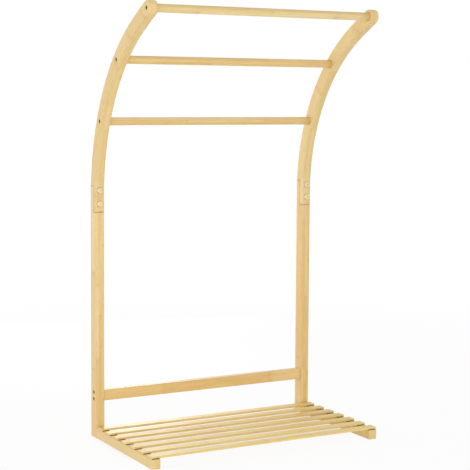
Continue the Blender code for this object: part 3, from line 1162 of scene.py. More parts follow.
@dataclass(frozen=True)
class BambooFinish:
    """Laminated bamboo under clear satin lacquer.

    Strips run from the pale colour to the deep one. Patches, fibres, growth
    marks and their halos, glue lines, cut ends, rubbed edges and a joint's line
    are laid over them, each as far as its share or strength says. The joint's
    line is dark at the half laps, and it is painted shadow where the slats meet
    the foot rails and painted shade where the rails enter the arms.

    Attributes:
        blush: the warmer colour of scattered patches.
        straw: the yellower colour of others.
        vessel: colour of the fibre bundles.
        specular: how strongly the lacquer mirrors, 0.5 being plain.
        roughness: mean roughness of the lacquer.
        offset_share: how far the glue lines lie from the middle, in strips.
        sheen_shares: what fibre, cut end, mark and wear add to the roughness.
        dot_depth: how deep the dots lie, against the strips' relief.
        bump: strength and height of the relief.
        seed: picks the strips' tones and marks.
    """

    pale: Colour = (0.915, 0.73, 0.385)
    deep: Colour = (0.775, 0.533, 0.193)
    blush: Colour = (0.90, 0.57, 0.30)
    straw: Colour = (0.86, 0.69, 0.27)
    mark: Colour = (0.50, 0.29, 0.10)
    halo: Colour = (0.76, 0.47, 0.17)
    vessel: Colour = (0.58, 0.35, 0.12)
    edge: Colour = (0.62, 0.42, 0.18)
    # The joint's colour: dark at the half laps, painted shadow where slats meet the foot rails.
    seam: Colour = (0.16, 0.085, 0.03)
    strip_width: float = 0.020
    strip_thickness: float = 0.0062
    mark_spacing: float = 0.23
    mark_strength: float = 0.45
    glue_strength: float = 0.28
    edge_strength: float = 0.55
    seam_strength: float = 0.85
    specular: float = 0.5
    roughness: float = 0.40
    lacquer_ior: float = 1.5
    offset_share: float = 0.5
    tone_range: Range = (0.15, 0.85)
    blush_share: float = 0.55
    straw_share: float = 0.45
    fibre_range: Range = (0.25, 0.8)
    fibre_share: float = 0.22
    vessel_share: float = 0.38
    halo_share: float = 1.1
    mark_share: float = 0.62
    end_share: float = 0.45
    dot_share: float = 0.5
    sheen_shares: tuple[float, ...] = (0.12, 0.15, 0.08, -0.06)
    dot_depth: float = 0.4
    bump: Range = (0.35, 0.0002)
    seed: float = 1.0

    def material(self, name: str, laying: Laying, effects: Effects,
                 joint: Joint | None = None) -> bpy.types.Material:
        """Make the material for one board.

        Args:
            name: the material's name.
            laying: how its strips lie.
            effects: the shared shader groups.
            joint: the joint whose line the board shows, if it does.

        Returns:
            The material.
        """
        write = MaterialWriter(name)
        turn = laying.turn()
        offset = Vector((0.0, self.offset_share * self.strip_width,
                         self.offset_share * self.strip_thickness))
        place = write.place(offset - turn @ Vector(laying.box.middle), turn.to_euler("XYZ"))
        strips = write.group(
            effects.strips, Place=place, Strip_Width=self.strip_width,
            Strip_Thickness=self.strip_thickness, Mark_Spacing=self.mark_spacing, Seed=self.seed)
        ends = write.group(effects.end_grain, Place=place, Normal=write.coordinates["Normal"],
                           Grain=tuple(laying.grain))
        arris = write.signals(write.add("ShaderNodeAttribute", attribute_name=ARRIS_ATTRIBUTE))["Fac"]
        wear = write.group(effects.arrises, Arris=arris, Place=place)["Wear"]
        dots = ends["Dots"] * ends["Mask"]
        layers = [
            (strips["Blush"] * self.blush_share, self.blush),
            (strips["Straw"] * self.straw_share, self.straw),
            (strips["Fibre"].eased(*self.fibre_range, 0.0, self.fibre_share), self.vessel),
            (strips["Vessel"] * self.vessel_share, self.vessel),
            (strips["Mark Halo"] * (self.halo_share * self.mark_strength), self.halo),
            (strips["Mark"] * (self.mark_share * self.mark_strength), self.mark),
            (strips["Glue Line"] * self.glue_strength, self.mark),
            (ends["Mask"] * self.end_share, self.pale),
            (dots * self.dot_share, self.vessel),
            (wear * self.edge_strength, self.edge),
        ]
        # The joint's layer is a dark line at the half laps and painted shade at the slats and rails.
        if joint is not None:
            seam = write.group(effects.joints[type(joint)], Place=write.coordinates["Object"],
                               **joint.inputs())["Line"]
            layers.append((seam * self.seam_strength, self.seam))
        colour = write.mixed(strips["Tone"].eased(*self.tone_range), self.pale, self.deep)
        for share, layer in layers:
            colour = write.mixed(share, colour, layer)
        write.dial("Base Color", colour)
        fibre, end, mark, rubbed = self.sheen_shares
        sheen = strips["Fibre"] * fibre + (self.roughness - fibre / 2)
        sheen = sheen + ends["Mask"] * end + strips["Mark"] * mark + wear * rubbed
        write.dial("Roughness", sheen)
        write.relief(strips["Height"] - dots * self.dot_depth, *self.bump)
        write.dial("IOR", self.lacquer_ior)
        write.dial("Specular IOR Level", self.specular)
        return write.material


@dataclass(frozen=True)
class SteelFinish:
    """Plated or blackened steel.

    Attributes:
        bright: colour of the metal.
        dull: colour of its darker clouds.
        ring_spacing: distance between turning marks.
        scratch_depth: how deep scratches lie, against the turning marks.
        bump: strength and height of the relief.
    """

    bright: Colour
    dull: Colour
    roughness: float
    slot: str
    ring_spacing: float = 0.00012
    cloud_range: Range = (0.35, 0.7)
    cloud_sheen: float = 0.16
    scratch_sheen: float = 0.12
    scratch_depth: float = 0.5
    bump: Range = (0.15, 0.00005)

    def material(self, name: str, centre: Array, axis: Array, effects: Effects) -> bpy.types.Material:
        """Make the material for one fastener.

        Args:
            name: the material's name.
            centre: a point on the fastener's axis.
            axis: direction of that axis.
            effects: the shared shader groups.

        Returns:
            The material.
        """
        write = MaterialWriter(name)
        steel = write.group(effects.machining, Place=write.place(tuple(-centre)), Axis=tuple(axis),
                            Ring_Spacing=self.ring_spacing)
        cloud = steel["Cloud"]
        write.dial("Base Color", write.mixed(cloud.eased(*self.cloud_range), self.bright, self.dull))
        rough = cloud * self.cloud_sheen + (self.roughness - self.cloud_sheen / 2)
        write.dial("Roughness", rough + steel["Scratches"] * self.scratch_sheen)
        write.relief(steel["Rings"] - steel["Scratches"] * self.scratch_depth, *self.bump)
        write.dial("Metallic", 1.0)
        return write.material


ZINC = SteelFinish(bright=(0.92, 0.79, 0.48), dull=(0.72, 0.58, 0.32), roughness=0.34,
                   slot="zinc_steel")
BLACK_STEEL = SteelFinish(bright=(0.110, 0.070, 0.032), dull=(0.055, 0.034, 0.015), roughness=0.50,
                          slot="dark_steel")
BRIGHT_WIRE = SteelFinish(bright=(0.58, 0.52, 0.42), dull=(0.38, 0.33, 0.26), roughness=0.38,
                          slot="brad_steel")


# Wooden pieces


@dataclass(frozen=True)
class Drill:
    """A stepped hole cutter, turned about its axis.

    Attributes:
        steps: (radius, depth) of each length of the hole, from its mouth in.
        mouth_ease: how far the mouth's edge is eased.
    """

    steps: tuple[Range, ...]
    mouth_ease: float = 0.00025

    @classmethod
    def plain(cls, radius: float, depth: float) -> Drill:
        """Cutter for a hole of one radius."""
        return cls(((radius, depth),))

    def shape(self, mouth: Array, direction: Array) -> Shape:
        """Closed cutter that starts a little outside the surface.

        Args:
            mouth: the middle of the hole at the surface.
            direction: the way in.

        Returns:
            The cutter.
        """
        first = self.steps[0][0]
        radius = [0.0, first + self.mouth_ease + CUT_OVERRUN, first]
        height = [-CUT_OVERRUN, -CUT_OVERRUN, self.mouth_ease]
        for reach, depth in self.steps:
            radius += [reach, reach]
            height += [height[-1], depth]
        radius.append(0.0)
        height.append(height[-1])
        turned = turned_shape(np.array(radius), np.array(height), HOLE_SIDES)
        return turned.placed(np.array(mouth), np.array(direction))


@dataclass(frozen=True)
class Boards:
    """Rounding and hole sizes that the wooden pieces share."""

    long_arris: float = 0.002
    cut_arris: float = 0.0005
    lap_easing: float = 0.0008
    slat_arris: float = 0.001
    slat_cut_arris: float = 0.0003
    screw_recess_radius: float = 0.0037 + FIT_GAP
    screw_recess_depth: float = 0.0042
    screw_hole_radius: float = 0.00225 + FIT_GAP
    bolt_seat_radius: float = 0.006 + FIT_GAP
    bolt_seat_depth: float = 0.0015
    bolt_hole_radius: float = 0.003 + FIT_GAP
    nut_hole_radius: float = 0.0045 + FIT_GAP
    nut_back_wall: float = 0.0025
    dowel_radius: float = 0.003 + FIT_GAP
    brad_seat_radius: float = 0.0012 + FIT_GAP
    brad_seat_depth: float = 0.0006 + FIT_GAP
    brad_hole_radius: float = 0.0007 + FIT_GAP
    brad_mouth_ease: float = 0.0001
    rail_socket_depth: float = 0.009

    def recess(self, depth: float) -> Drill:
        """Cutter for a sunk screw that goes this deep."""
        return Drill(((self.screw_recess_radius, self.screw_recess_depth),
                      (self.screw_hole_radius, depth)))


BOARDS = Boards()
RAIL_NAMES = ("lower", "middle", "top")
LEVELS = ("lower", "upper")
SLAT_NUMBERS = tuple(range(1, 8))


def straight_bar(box: Box, facing: Facing, arris: float, cut_arris: float) -> Shape:
    """A sawn bar that fills a box, its long arrises rounded and its ends eased.

    Args:
        box: the bar's box; its outline's first axis is its length.
        facing: the plane of its outline.
        arris: radius along the bar.
        cut_arris: radius round its sawn ends.

    Returns:
        The bar's surface.
    """
    first, second, width = facing.value
    corners = np.array([
        (box.low[first], box.low[second]), (box.high[first], box.low[second]),
        (box.high[first], box.high[second]), (box.low[first], box.high[second]),
    ])
    sides = np.array([arris, cut_arris, arris, cut_arris])
    outline = arrised_outline(corners, sides, np.full(4, cut_arris))
    return rounded_slab(outline, box.low[width], box.high[width], facing)


@dataclass(frozen=True)
class WoodenPiece:
    """A wooden piece: its surface, its finish and its holes.

    Attributes:
        node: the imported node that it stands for.
        slot: the record's material slot.
        joint: the joint whose line it shows, if it does.
        cuts: the holes of each round of cutting.
    """

    node: str
    slot: str
    shape: Shape
    finish: BambooFinish
    laying: Laying
    joint: Joint | None = None
    cuts: Sequence[Sequence[Shape]] = ()

    def build(self, effects: Effects) -> None:
        """Make, cut and dress the piece.

        Args:
            effects: the shared shader groups.
        """
        piece = new_piece("visual_" + self.node, self.shape)
        for holes in self.cuts:
            carve(piece, holes)
        material = self.finish.material(self.node + " bamboo", self.laying, effects, self.joint)
        dress(piece, self.node, self.slot, material)


POST_SEEDS: dict[Side, float] = {Side.LEFT: 18.0, Side.RIGHT: 89.0}
# The right arm's tones are a little deeper: painted shade for light that falls off to the right.
ARM_TONES: dict[Side, tuple[Colour, Colour]] = {
    Side.LEFT: ((0.87, 0.69, 0.35), (0.80, 0.585, 0.24)),
    Side.RIGHT: ((0.86, 0.68, 0.335), (0.79, 0.575, 0.228)),
}
ARM_SEED = 7.0
FOOT_FINISH = BambooFinish(pale=(0.85, 0.65, 0.305), deep=(0.745, 0.505, 0.18), strip_width=0.026,
                           mark_strength=0.15, seed=20.0)


@dataclass
class SideFrame:
    """One side of the rack: lower post, curved arm and foot rail.

    Attributes:
        arc_back_radius: radius of the arm's back face.
        arm_straight: straight length of the arm above the joint's height.
        tip_back_radius: radius of the back face near the tip.
        chord_lean: lean of the arm's grain from upright.
    """

    side: Side
    effects: Effects
    arc_back_radius: float = 0.396
    arc_sweep: float = math.radians(60)
    arm_straight: float = 0.0275
    tip_back_radius: float = 1.000
    tip_length: float = 0.068
    arc_steps: int = 48
    tip_steps: int = 8
    cap_steps: int = 20
    chord_lean: float = math.radians(33)
    post: Box = field(init=False)
    arm: Box = field(init=False)
    foot: Box = field(init=False)

    def __post_init__(self) -> None:
        """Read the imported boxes."""
        self.post, self.arm, self.foot = map(self.packed, ("lower_post", "curved_arm", "foot_rail"))

    def node(self, piece: str) -> str:
        """Packed name of one of this side's pieces."""
        return self.side.label + "_" + piece

    def packed(self, piece: str) -> Box:
        """Packed box of one of this side's pieces."""
        return Box.of(self.node(piece))

    @property
    def depth(self) -> float:
        """Depth of the post and of the arm."""
        return float(self.post.size[1])

    @property
    def joint_height(self) -> float:
        """Height of the step in the half lap."""
        return float(self.arm.low[2]) - FIT_GAP

    @property
    def lap(self) -> LapLine:
        """Where the half lap's line runs, in the middle of its gaps."""
        foot, shoulder = self.joint_height + FIT_GAP / 2, float(self.post.high[2]) + FIT_GAP / 2
        return LapLine(foot, shoulder, float(self.post.middle[1]))

    def centre_line(self, distance: Array) -> tuple[Array, Array]:
        """The arm's middle line above the start of its arc.

        Each point lies one radius from the arc's centre, turned by the distance
        over that radius, and past the arc's end the same holds for the tip.

        Args:
            distance: lengths along the line.

        Returns:
            (n, 2) points and (n,) leans.
        """
        half = self.depth / 2
        radius = self.arc_back_radius - half
        tip_radius = self.tip_back_radius - half
        arc_length = radius * self.arc_sweep
        back = float(self.post.high[1])
        start = self.joint_height + self.arm_straight
        lean = np.minimum(distance, arc_length) / radius
        place = np.array([back - self.arc_back_radius, start]) + self.outward(lean) * radius
        extra = np.maximum(distance - arc_length, 0) / tip_radius
        place = place + (self.outward(lean + extra) - self.outward(lean)) * tip_radius
        return place, lean + extra

    @staticmethod
    def outward(lean: Array) -> Array:
        """Unit vectors (y, z) towards the arm's back face at each lean."""
        return np.stack([np.cos(lean), np.sin(lean)], axis=-1)

    def post_outline(self) -> Outline:
        """Outline of the lower post with its half of the lap.

        It is the post's rectangle, less the front half of its depth above the
        joint's height.

        Returns:
            The outline, seen from the side.
        """
        front, back = self.post.low[1], self.post.high[1]
        top, joint = self.post.high[2], self.joint_height
        cheek = (front + back) / 2 + FIT_GAP / 2
        corners = np.array([
            (front, 0.0), (back, 0.0), (back, top), (cheek, top), (cheek, joint), (front, joint),
        ])
        long, cut, lap = BOARDS.long_arris, BOARDS.cut_arris, BOARDS.lap_easing
        sides = np.array([cut, long, lap, 0.0, lap, long])
        easing = np.array([cut, cut, lap, 0.0, 0.0, lap])
        return arrised_outline(corners, sides, easing)

    def arm_outline(self) -> Outline:
        """Outline of the arm: up its back, round its end and down its front.

        Both faces lie half the depth off the middle line, and the end is half a
        circle round the line's last point.

        Returns:
            The outline, seen from the side.
        """
        half = self.depth / 2
        front, back = self.post.low[1], self.post.high[1]
        foot = float(self.arm.low[2])
        shoulder = float(self.post.high[2]) + FIT_GAP
        cheek = (front + back) / 2 - FIT_GAP / 2
        arc_length = (self.arc_back_radius - half) * self.arc_sweep
        distance = np.concatenate([
            np.linspace(0, arc_length, self.arc_steps + 1),
            arc_length + self.tip_length * np.arange(1, self.tip_steps + 1) / self.tip_steps,
        ])
        place, lean = self.centre_line(distance)
        out = self.outward(lean)
        turn = np.linspace(0, math.pi, self.cap_steps + 1)[1:-1]
        ahead = self.outward(lean[-1:] + math.pi / 2)
        cap = place[-1] + half * (out[-1] * np.cos(turn)[:, None] + ahead * np.sin(turn)[:, None])
        rise = shoulder - (self.joint_height + self.arm_straight)
        shoulder_back = back - self.arc_back_radius + math.sqrt(self.arc_back_radius ** 2 - rise ** 2)
        back_line = place + out * half
        back_line = back_line[back_line[:, 1] > shoulder + BOARDS.long_arris]
        front_line = (place - out * half)[::-1]
        corners = np.concatenate([
            [(front, foot), (cheek, foot), (cheek, shoulder), (shoulder_back, shoulder)],
            back_line, cap, front_line,
        ])
        sides = np.full(len(corners), BOARDS.long_arris)
        sides[:3] = (BOARDS.lap_easing, 0.0, BOARDS.lap_easing)
        easing = np.zeros(len(corners))
        easing[[0, 3]] = BOARDS.lap_easing
        return arrised_outline(corners, sides, easing)

    def outer_face(self, box: Box, inset: float = 0.0) -> float:
        """X of a piece's outer face, moved in by an inset."""
        reach = float(np.max(np.abs((box.low[0], box.high[0]))))
        return self.side.value * (reach - inset)

    def inward(self) -> Array:
        """Direction from the outer face in."""
        return np.array([-self.side.value, 0.0, 0.0])

    def build_post(self) -> None:
        """Lower post, with its screw recesses, nut holes and dowel hole."""
        box = self.post
        middle_x, middle_y, _ = box.middle
        recess = BOARDS.recess(float(box.size[0]) + CUT_OVERRUN)
        nut_hole = Drill.plain(BOARDS.nut_hole_radius,
                               float(box.high[1] - BOARDS.nut_back_wall - middle_y))
        holes = []
        for level in LEVELS:
            _, y, z = self.packed(level + "_stretcher_screw").middle
            holes.append(recess.shape((self.outer_face(box), y, z), self.inward()))
            nut_z = self.packed(level + "_insert_nut").middle[2]
            holes.append(nut_hole.shape((middle_x, middle_y + FIT_GAP / 2, nut_z), TO_BACK))
        screw_z = self.packed("foot_screw").middle[2]
        holes.append(BOARDS.recess(self.depth + CUT_OVERRUN).shape(
            (middle_x, box.high[1], screw_z), TO_FRONT))
        dowel = self.packed("foot_dowel")
        dowel_hole = Drill.plain(BOARDS.dowel_radius, float(dowel.high[1] - box.low[1]) + FIT_GAP)
        holes.append(dowel_hole.shape((middle_x, box.low[1], dowel.middle[2]), TO_BACK))
        slab = rounded_slab(self.post_outline(), box.low[0], box.high[0], Facing.SIDE)
        finish = BambooFinish(seed=POST_SEEDS[self.side])
        laying = Laying((0, 0, 1), (0, 1, 0), box)
        WoodenPiece(self.node("lower_post"), "bamboo_frame", slab, finish, laying, self.lap,
                    [holes]).build(self.effects)

    def build_arm(self) -> None:
        """Curved arm, with its rail sockets, screw recesses and bolt seats."""
        box = self.arm
        width = float(box.size[0])
        recess = BOARDS.recess(width - BOARDS.rail_socket_depth + CUT_OVERRUN)
        seat = Drill(((BOARDS.bolt_seat_radius, BOARDS.bolt_seat_depth),
                      (BOARDS.bolt_hole_radius, self.depth / 2 + CUT_OVERRUN)))
        sockets, holes = [], []
        for rail in RAIL_NAMES:
            rail_box = Box.of(rail + "_towel_rail")
            _, y, z = rail_box.middle
            socket = Drill.plain(float(rail_box.size[2]) / 2 + FIT_GAP, BOARDS.rail_socket_depth)
            sockets.append(socket.shape((self.outer_face(box, width), y, z), -self.inward()))
            holes.append(recess.shape((self.outer_face(box), y, z), self.inward()))
        for level in LEVELS:
            bolt_z = self.packed(level + "_lap_bolt").middle[2]
            holes.append(seat.shape((box.middle[0], self.post.low[1], bolt_z), TO_BACK))
        pale, deep = ARM_TONES[self.side]
        finish = BambooFinish(pale=pale, deep=deep, strip_width=0.034, glue_strength=0.15,
                              seed=ARM_SEED + self.side.value)
        sine, cosine = math.sin(self.chord_lean), math.cos(self.chord_lean)
        slab = rounded_slab(self.arm_outline(), box.low[0], box.high[0], Facing.SIDE)
        laying = Laying((0, -sine, cosine), (0, cosine, sine), box)
        WoodenPiece(self.node("curved_arm"), "bamboo_frame", slab, finish, laying, self.lap,
                    [sockets, holes]).build(self.effects)

    def build_foot(self) -> None:
        """Foot rail, with its screw, dowel and brad holes."""
        box = self.foot
        middle_x = float(box.middle[0])
        holes = []
        fixings = {"foot_screw": BOARDS.screw_hole_radius, "foot_dowel": BOARDS.dowel_radius}
        for piece, radius in fixings.items():
            fixing = self.packed(piece)
            hole = Drill.plain(radius, float(box.high[1] - fixing.low[1]) + FIT_GAP)
            holes.append(hole.shape((middle_x, box.high[1], fixing.middle[2]), TO_FRONT))
        for number in SLAT_NUMBERS:
            brad = self.packed(f"slat_{number}_brad")
            hole = Drill.plain(BOARDS.brad_hole_radius, float(box.high[2] - brad.low[2]) + FIT_GAP)
            holes.append(hole.shape((middle_x, brad.middle[1], box.high[2]), DOWN))
        finish = replace(FOOT_FINISH, seed=FOOT_FINISH.seed + self.side.value)
        bar = straight_bar(box, Facing.SIDE, BOARDS.long_arris, BOARDS.cut_arris)
        laying = Laying((0, 1, 0), (0, 0, 1), box)
        # Its contact layer paints shadow where the slats rest on it.
        WoodenPiece(self.node("foot_rail"), "bamboo_frame", bar, finish, laying,
                    SlatContactShadow.of_shelf(), [holes]).build(self.effects)

    def build(self) -> None:
        """Build the three wooden pieces of this side."""
        self.build_post()
        self.build_arm()
        self.build_foot()


RAIL_TONES: dict[str, tuple[Colour, Colour]] = {
    "lower": ((0.87, 0.685, 0.353), (0.76, 0.538, 0.210)),
    "middle": ((0.85, 0.637, 0.302), (0.74, 0.496, 0.178)),
    "top": ((0.885, 0.75, 0.422), (0.775, 0.59, 0.26)),
}
RAIL_SEED = 17.0


@dataclass
class TowelRail:
    """A round towel rail, turned from glued strips.

    Attributes:
        end_chamfer: bevel round each hidden end.
        waver: how far hand sanding leaves the radius off.
        waver_lobes: how often the radius wavers round the rail.
        waver_twist: how fast those lobes turn, in radians per metre.
        waver_pitch: how fast they come and go, in radians per metre.
    """

    name: str
    effects: Effects
    end_chamfer: float = 0.0008
    waver: float = 0.00004
    stations: int = 61
    waver_lobes: int = 3
    waver_twist: float = 21.0
    waver_pitch: float = 47.0

    def shape(self, box: Box) -> Shape:
        """The rail's surface: a cylinder whose radius wavers along and around it.

        The radius changes as the sine of the lobes' angle, which turns along
        the rail, times a sine along it.

        Args:
            box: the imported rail's box.

        Returns:
            A closed surface.
        """
        length, _, width = box.size
        radius = width / 2
        along = np.linspace(self.end_chamfer, length - self.end_chamfer, self.stations)
        height = np.concatenate([[0.0], along, [length]])
        rings = np.full(len(height), radius - self.waver)
        rings[[0, -1]] -= self.end_chamfer
        shape = turned_shape(rings, height, ROUND_SIDES)
        x, y, z = shape.points.T
        lobes = np.sin(self.waver_lobes * np.arctan2(y, x) + self.waver_twist * z)
        scale = 1 + lobes * np.sin(self.waver_pitch * z) * self.waver / radius
        turned = Shape(np.stack([x * scale, y * scale, z], axis=-1), shape.faces, shape.arris)
        start = np.array([box.low[0], box.middle[1], box.middle[2]])
        return turned.placed(start, np.array([1.0, 0.0, 0.0]))

    def build(self, seed: float) -> None:
        """Build and dress the rail.

        Args:
            seed: picks its strips.
        """
        node = self.name + "_towel_rail"
        box = Box.of(node)
        pale, deep = RAIL_TONES[self.name]
        # Its joint colour and strength here are painted shade round the rail's ends.
        finish = BambooFinish(
            pale=pale, deep=deep, seam=(0.62, 0.36, 0.11), strip_width=0.022,
            strip_thickness=0.0055, mark_strength=0.3, seam_strength=0.7, specular=0.25,
            seed=seed)
        # Painted shade where the rail enters the arms, stronger at the right.
        socket = RailEndShade(float(Box.of("right_curved_arm").low[0]))
        laying = Laying((1, 0, 0), (0, 1, 0), box)
        WoodenPiece(node, "bamboo_rail", self.shape(box), finish, laying, socket).build(self.effects)


@dataclass
class CrossStretcher:
    """The low cross bar between the posts."""

    effects: Effects
    finish: BambooFinish = BambooFinish(
        pale=(0.965, 0.768, 0.392), deep=(0.71, 0.444, 0.117), strip_width=0.026,
        mark_strength=0.3, seed=33.0)

    def build(self) -> None:
        """Build and dress the bar."""
        node = "cross_stretcher"
        box = Box.of(node)
        bar = straight_bar(box, Facing.FRONT, BOARDS.long_arris, BOARDS.cut_arris)
        laying = Laying((1, 0, 0), (0, 0, 1), box)
        WoodenPiece(node, "bamboo_stretcher", bar, self.finish, laying).build(self.effects)


@dataclass
class Shelf:
    """The seven slats across the foot rails."""

    effects: Effects
    # The slats' stronger rubbed edges are partly wear and partly painted shade on their fronts.
    finish: BambooFinish = BambooFinish(
        pale=(0.985, 0.77, 0.275), deep=(0.905, 0.655, 0.2), strip_width=0.028,
        strip_thickness=0.006, mark_spacing=0.42, mark_strength=0.25, edge_strength=0.75,
        seed=30.0)

    def build(self) -> None:
        """Build the slats from the front."""
        for number in SLAT_NUMBERS:
            self.build_slat(number)

    def build_slat(self, number: int) -> None:
        """Build one slat with the seats of its two brads.

        Args:
            number: the slat's number, from the front.
        """
        node = f"shelf_slat_{number}"
        box = Box.of(node)
        seat = Drill(((BOARDS.brad_seat_radius, BOARDS.brad_seat_depth),
                      (BOARDS.brad_hole_radius, float(box.size[2]) + CUT_OVERRUN)),
                     BOARDS.brad_mouth_ease)
        holes = []
        for side in Side:
            x, y, _ = Box.of(f"{side.label}_slat_{number}_brad").middle
            holes.append(seat.shape((x, y, box.high[2]), DOWN))
        finish = replace(self.finish, seed=self.finish.seed + number)
        laying = Laying((1, 0, 0), (0, 1, 0), box)
        bar = straight_bar(box, Facing.FRONT, BOARDS.slat_arris, BOARDS.slat_cut_arris)
        # Its contact layer paints shadow along its edges over the foot rails.
        WoodenPiece(node, "bamboo_slat", bar, finish, laying, SlatContactShadow.of_shelf(),
                    [holes]).build(self.effects)


# Fasteners


@dataclass(frozen=True)
class Fastener:
    """A turned steel fastener with a hex socket in its head.

    Attributes:
        socket_half: half the socket's width over its flats, zero for none.
        dome: how far the head's middle stands up.
        tip: length of the pointed end, zero for a blunt one.
        lip_depth: depth of the eased lip round the socket.
        lip_share: reach of that lip, in corner radii of the socket.
        floor_share: where the drilled cone in its floor starts, in the same radii.
        cone_share: depth of that cone, in the same radii.
        crown_share: where a plain head's crown bends, in radii of its rim.
        crown_drop_share: how far it has come down there, in domes.
    """

    finish: SteelFinish
    head_radius: float
    head_height: float
    shank_radius: float
    socket_half: float = 0.0
    socket_depth: float = 0.0
    ease: float = 0.0005
    dome: float = 0.0
    tip: float = 0.0
    sides: int = ROUND_SIDES
    lip_depth: float = 0.0002
    lip_share: float = 1.06
    floor_share: float = 0.55
    cone_share: float = 0.12
    crown_share: float = 0.5
    crown_drop_share: float = 0.3

    def shape(self, length: float) -> Shape:
        """The fastener's surface, its head's top at the origin.

        The rings go from the socket's floor up its six-sided wall, out over the
        head, and down the shank to the tip.

        Args:
            length: from the head's top to the tip.

        Returns:
            A closed surface along Z.
        """
        rim = self.head_radius - self.ease
        turn = np.linspace(0, math.pi / 2, EASING_STEPS + 1)
        if self.socket_half:
            floor = self.socket_depth
            mouth = self.socket_half / math.cos(HEX_CORNER_SPACING / 2)
            radius = [0.0, mouth * self.floor_share, mouth, mouth, mouth * self.lip_share]
            height = [floor + mouth * self.cone_share, floor, floor, self.lip_depth, 0.0]
            six = [0.0, 0.5, 1.0, 1.0, 1.0]
        else:
            radius, six = [0.0, rim * self.crown_share], [0.0, 0.0]
            height = [0.0, self.dome * self.crown_drop_share]
        radius = np.concatenate([
            radius, rim + self.ease * np.sin(turn),
            [self.head_radius, self.shank_radius, self.shank_radius, 0.0],
        ])
        height = np.concatenate([
            height, self.dome + self.ease * (1 - np.cos(turn)),
            [self.head_height, self.head_height, length - self.tip, length],
        ])
        hexed = np.zeros(len(radius))
        hexed[:len(six)] = six
        return turned_shape(radius, height, self.sides, hexed)

    def build(self, node: str, direction: tuple[int, int, int], effects: Effects) -> None:
        """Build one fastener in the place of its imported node.

        Args:
            node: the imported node.
            direction: the way from its head to its tip.
            effects: the shared shader groups.
        """
        box = Box.of(node)
        way = np.array(direction)
        start = box.middle - box.size * way / 2
        shape = self.shape(float(np.abs(box.size @ way))).placed(start, way)
        dress(new_piece("visual_" + node, shape), node, self.finish.slot,
              self.finish.material(node + " steel", start, way, effects))


LAP_BOLT = Fastener(ZINC, head_radius=0.006, head_height=0.003, shank_radius=0.003,
                    socket_half=0.0025, socket_depth=0.002, ease=0.0011)
SUNK_SCREW = Fastener(BLACK_STEEL, head_radius=0.0037, head_height=0.003, shank_radius=0.00225,
                      socket_half=0.002, socket_depth=0.002, ease=0.0003, tip=0.003)
BRAD = Fastener(BRIGHT_WIRE, head_radius=0.0012, head_height=0.0006, shank_radius=0.0007,
                ease=0.00015, dome=0.00015, tip=0.001, sides=24)


@dataclass
class Fasteners:
    """All steel pieces and the dowels.

    Attributes:
        dowel: finish of the locating dowels.
    """

    effects: Effects
    dowel: BambooFinish = BambooFinish(
        pale=(0.80, 0.62, 0.40), deep=(0.68, 0.49, 0.28), blush=(0.74, 0.53, 0.33),
        mark=(0.55, 0.38, 0.20), vessel=(0.52, 0.36, 0.20), strip_width=0.05,
        strip_thickness=0.05, mark_spacing=1.0)

    def build(self) -> None:
        """Build every fastener of both sides."""
        for side in Side:
            inward = (-side.value, 0, 0)
            for level in LEVELS:
                LAP_BOLT.build(f"{side.label}_{level}_lap_bolt", (0, 1, 0), self.effects)
                SUNK_SCREW.build(f"{side.label}_{level}_stretcher_screw", inward, self.effects)
            for rail in RAIL_NAMES:
                SUNK_SCREW.build(f"{side.label}_{rail}_rail_screw", inward, self.effects)
            SUNK_SCREW.build(f"{side.label}_foot_screw", (0, -1, 0), self.effects)
            for number in SLAT_NUMBERS:
                BRAD.build(f"{side.label}_slat_{number}_brad", (0, 0, -1), self.effects)
            self.dress_hidden(side)

    def dress_hidden(self, side: Side) -> None:
        """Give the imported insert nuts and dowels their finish.

        Args:
            side: whose they are.
        """
        materials = {}
        for level in LEVELS:
            node = f"{side.label}_{level}_insert_nut"
            middle = Box.of(node).middle
            materials[node] = ZINC.material(node + " steel", middle, TO_BACK, self.effects)
        node = f"{side.label}_foot_dowel"
        laying = Laying((0, 1, 0), (0, 0, 1), Box.of(node))
        materials[node] = self.dowel.material(node + " wood", laying, self.effects)
        for node, material in materials.items():
            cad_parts[node].material_slots[0].material = material
            LOG.info("%s: packed solid, %s", node, material.name)


# Studio


@dataclass(frozen=True)
class SoftBox:
    """A square area light aimed at a point."""

    name: str
    place: Triple
    target: Triple
    size: float
    power: float

    def hang(self) -> None:
        """Put the light into the scene."""
        lamp = bpy.data.lights.new(self.name, "AREA")
        lamp.shape = "SQUARE"
        lamp.size = self.size
        lamp.energy = self.power
        holder = bpy.data.objects.new(self.name, lamp)
        bpy.context.scene.collection.objects.link(holder)
        holder.location = self.place
        aim = Vector(self.target) - Vector(self.place)
        holder.rotation_mode = "QUATERNION"
        holder.rotation_quaternion = aim.to_track_quat("-Z", "Y")
        holder.visible_camera = False


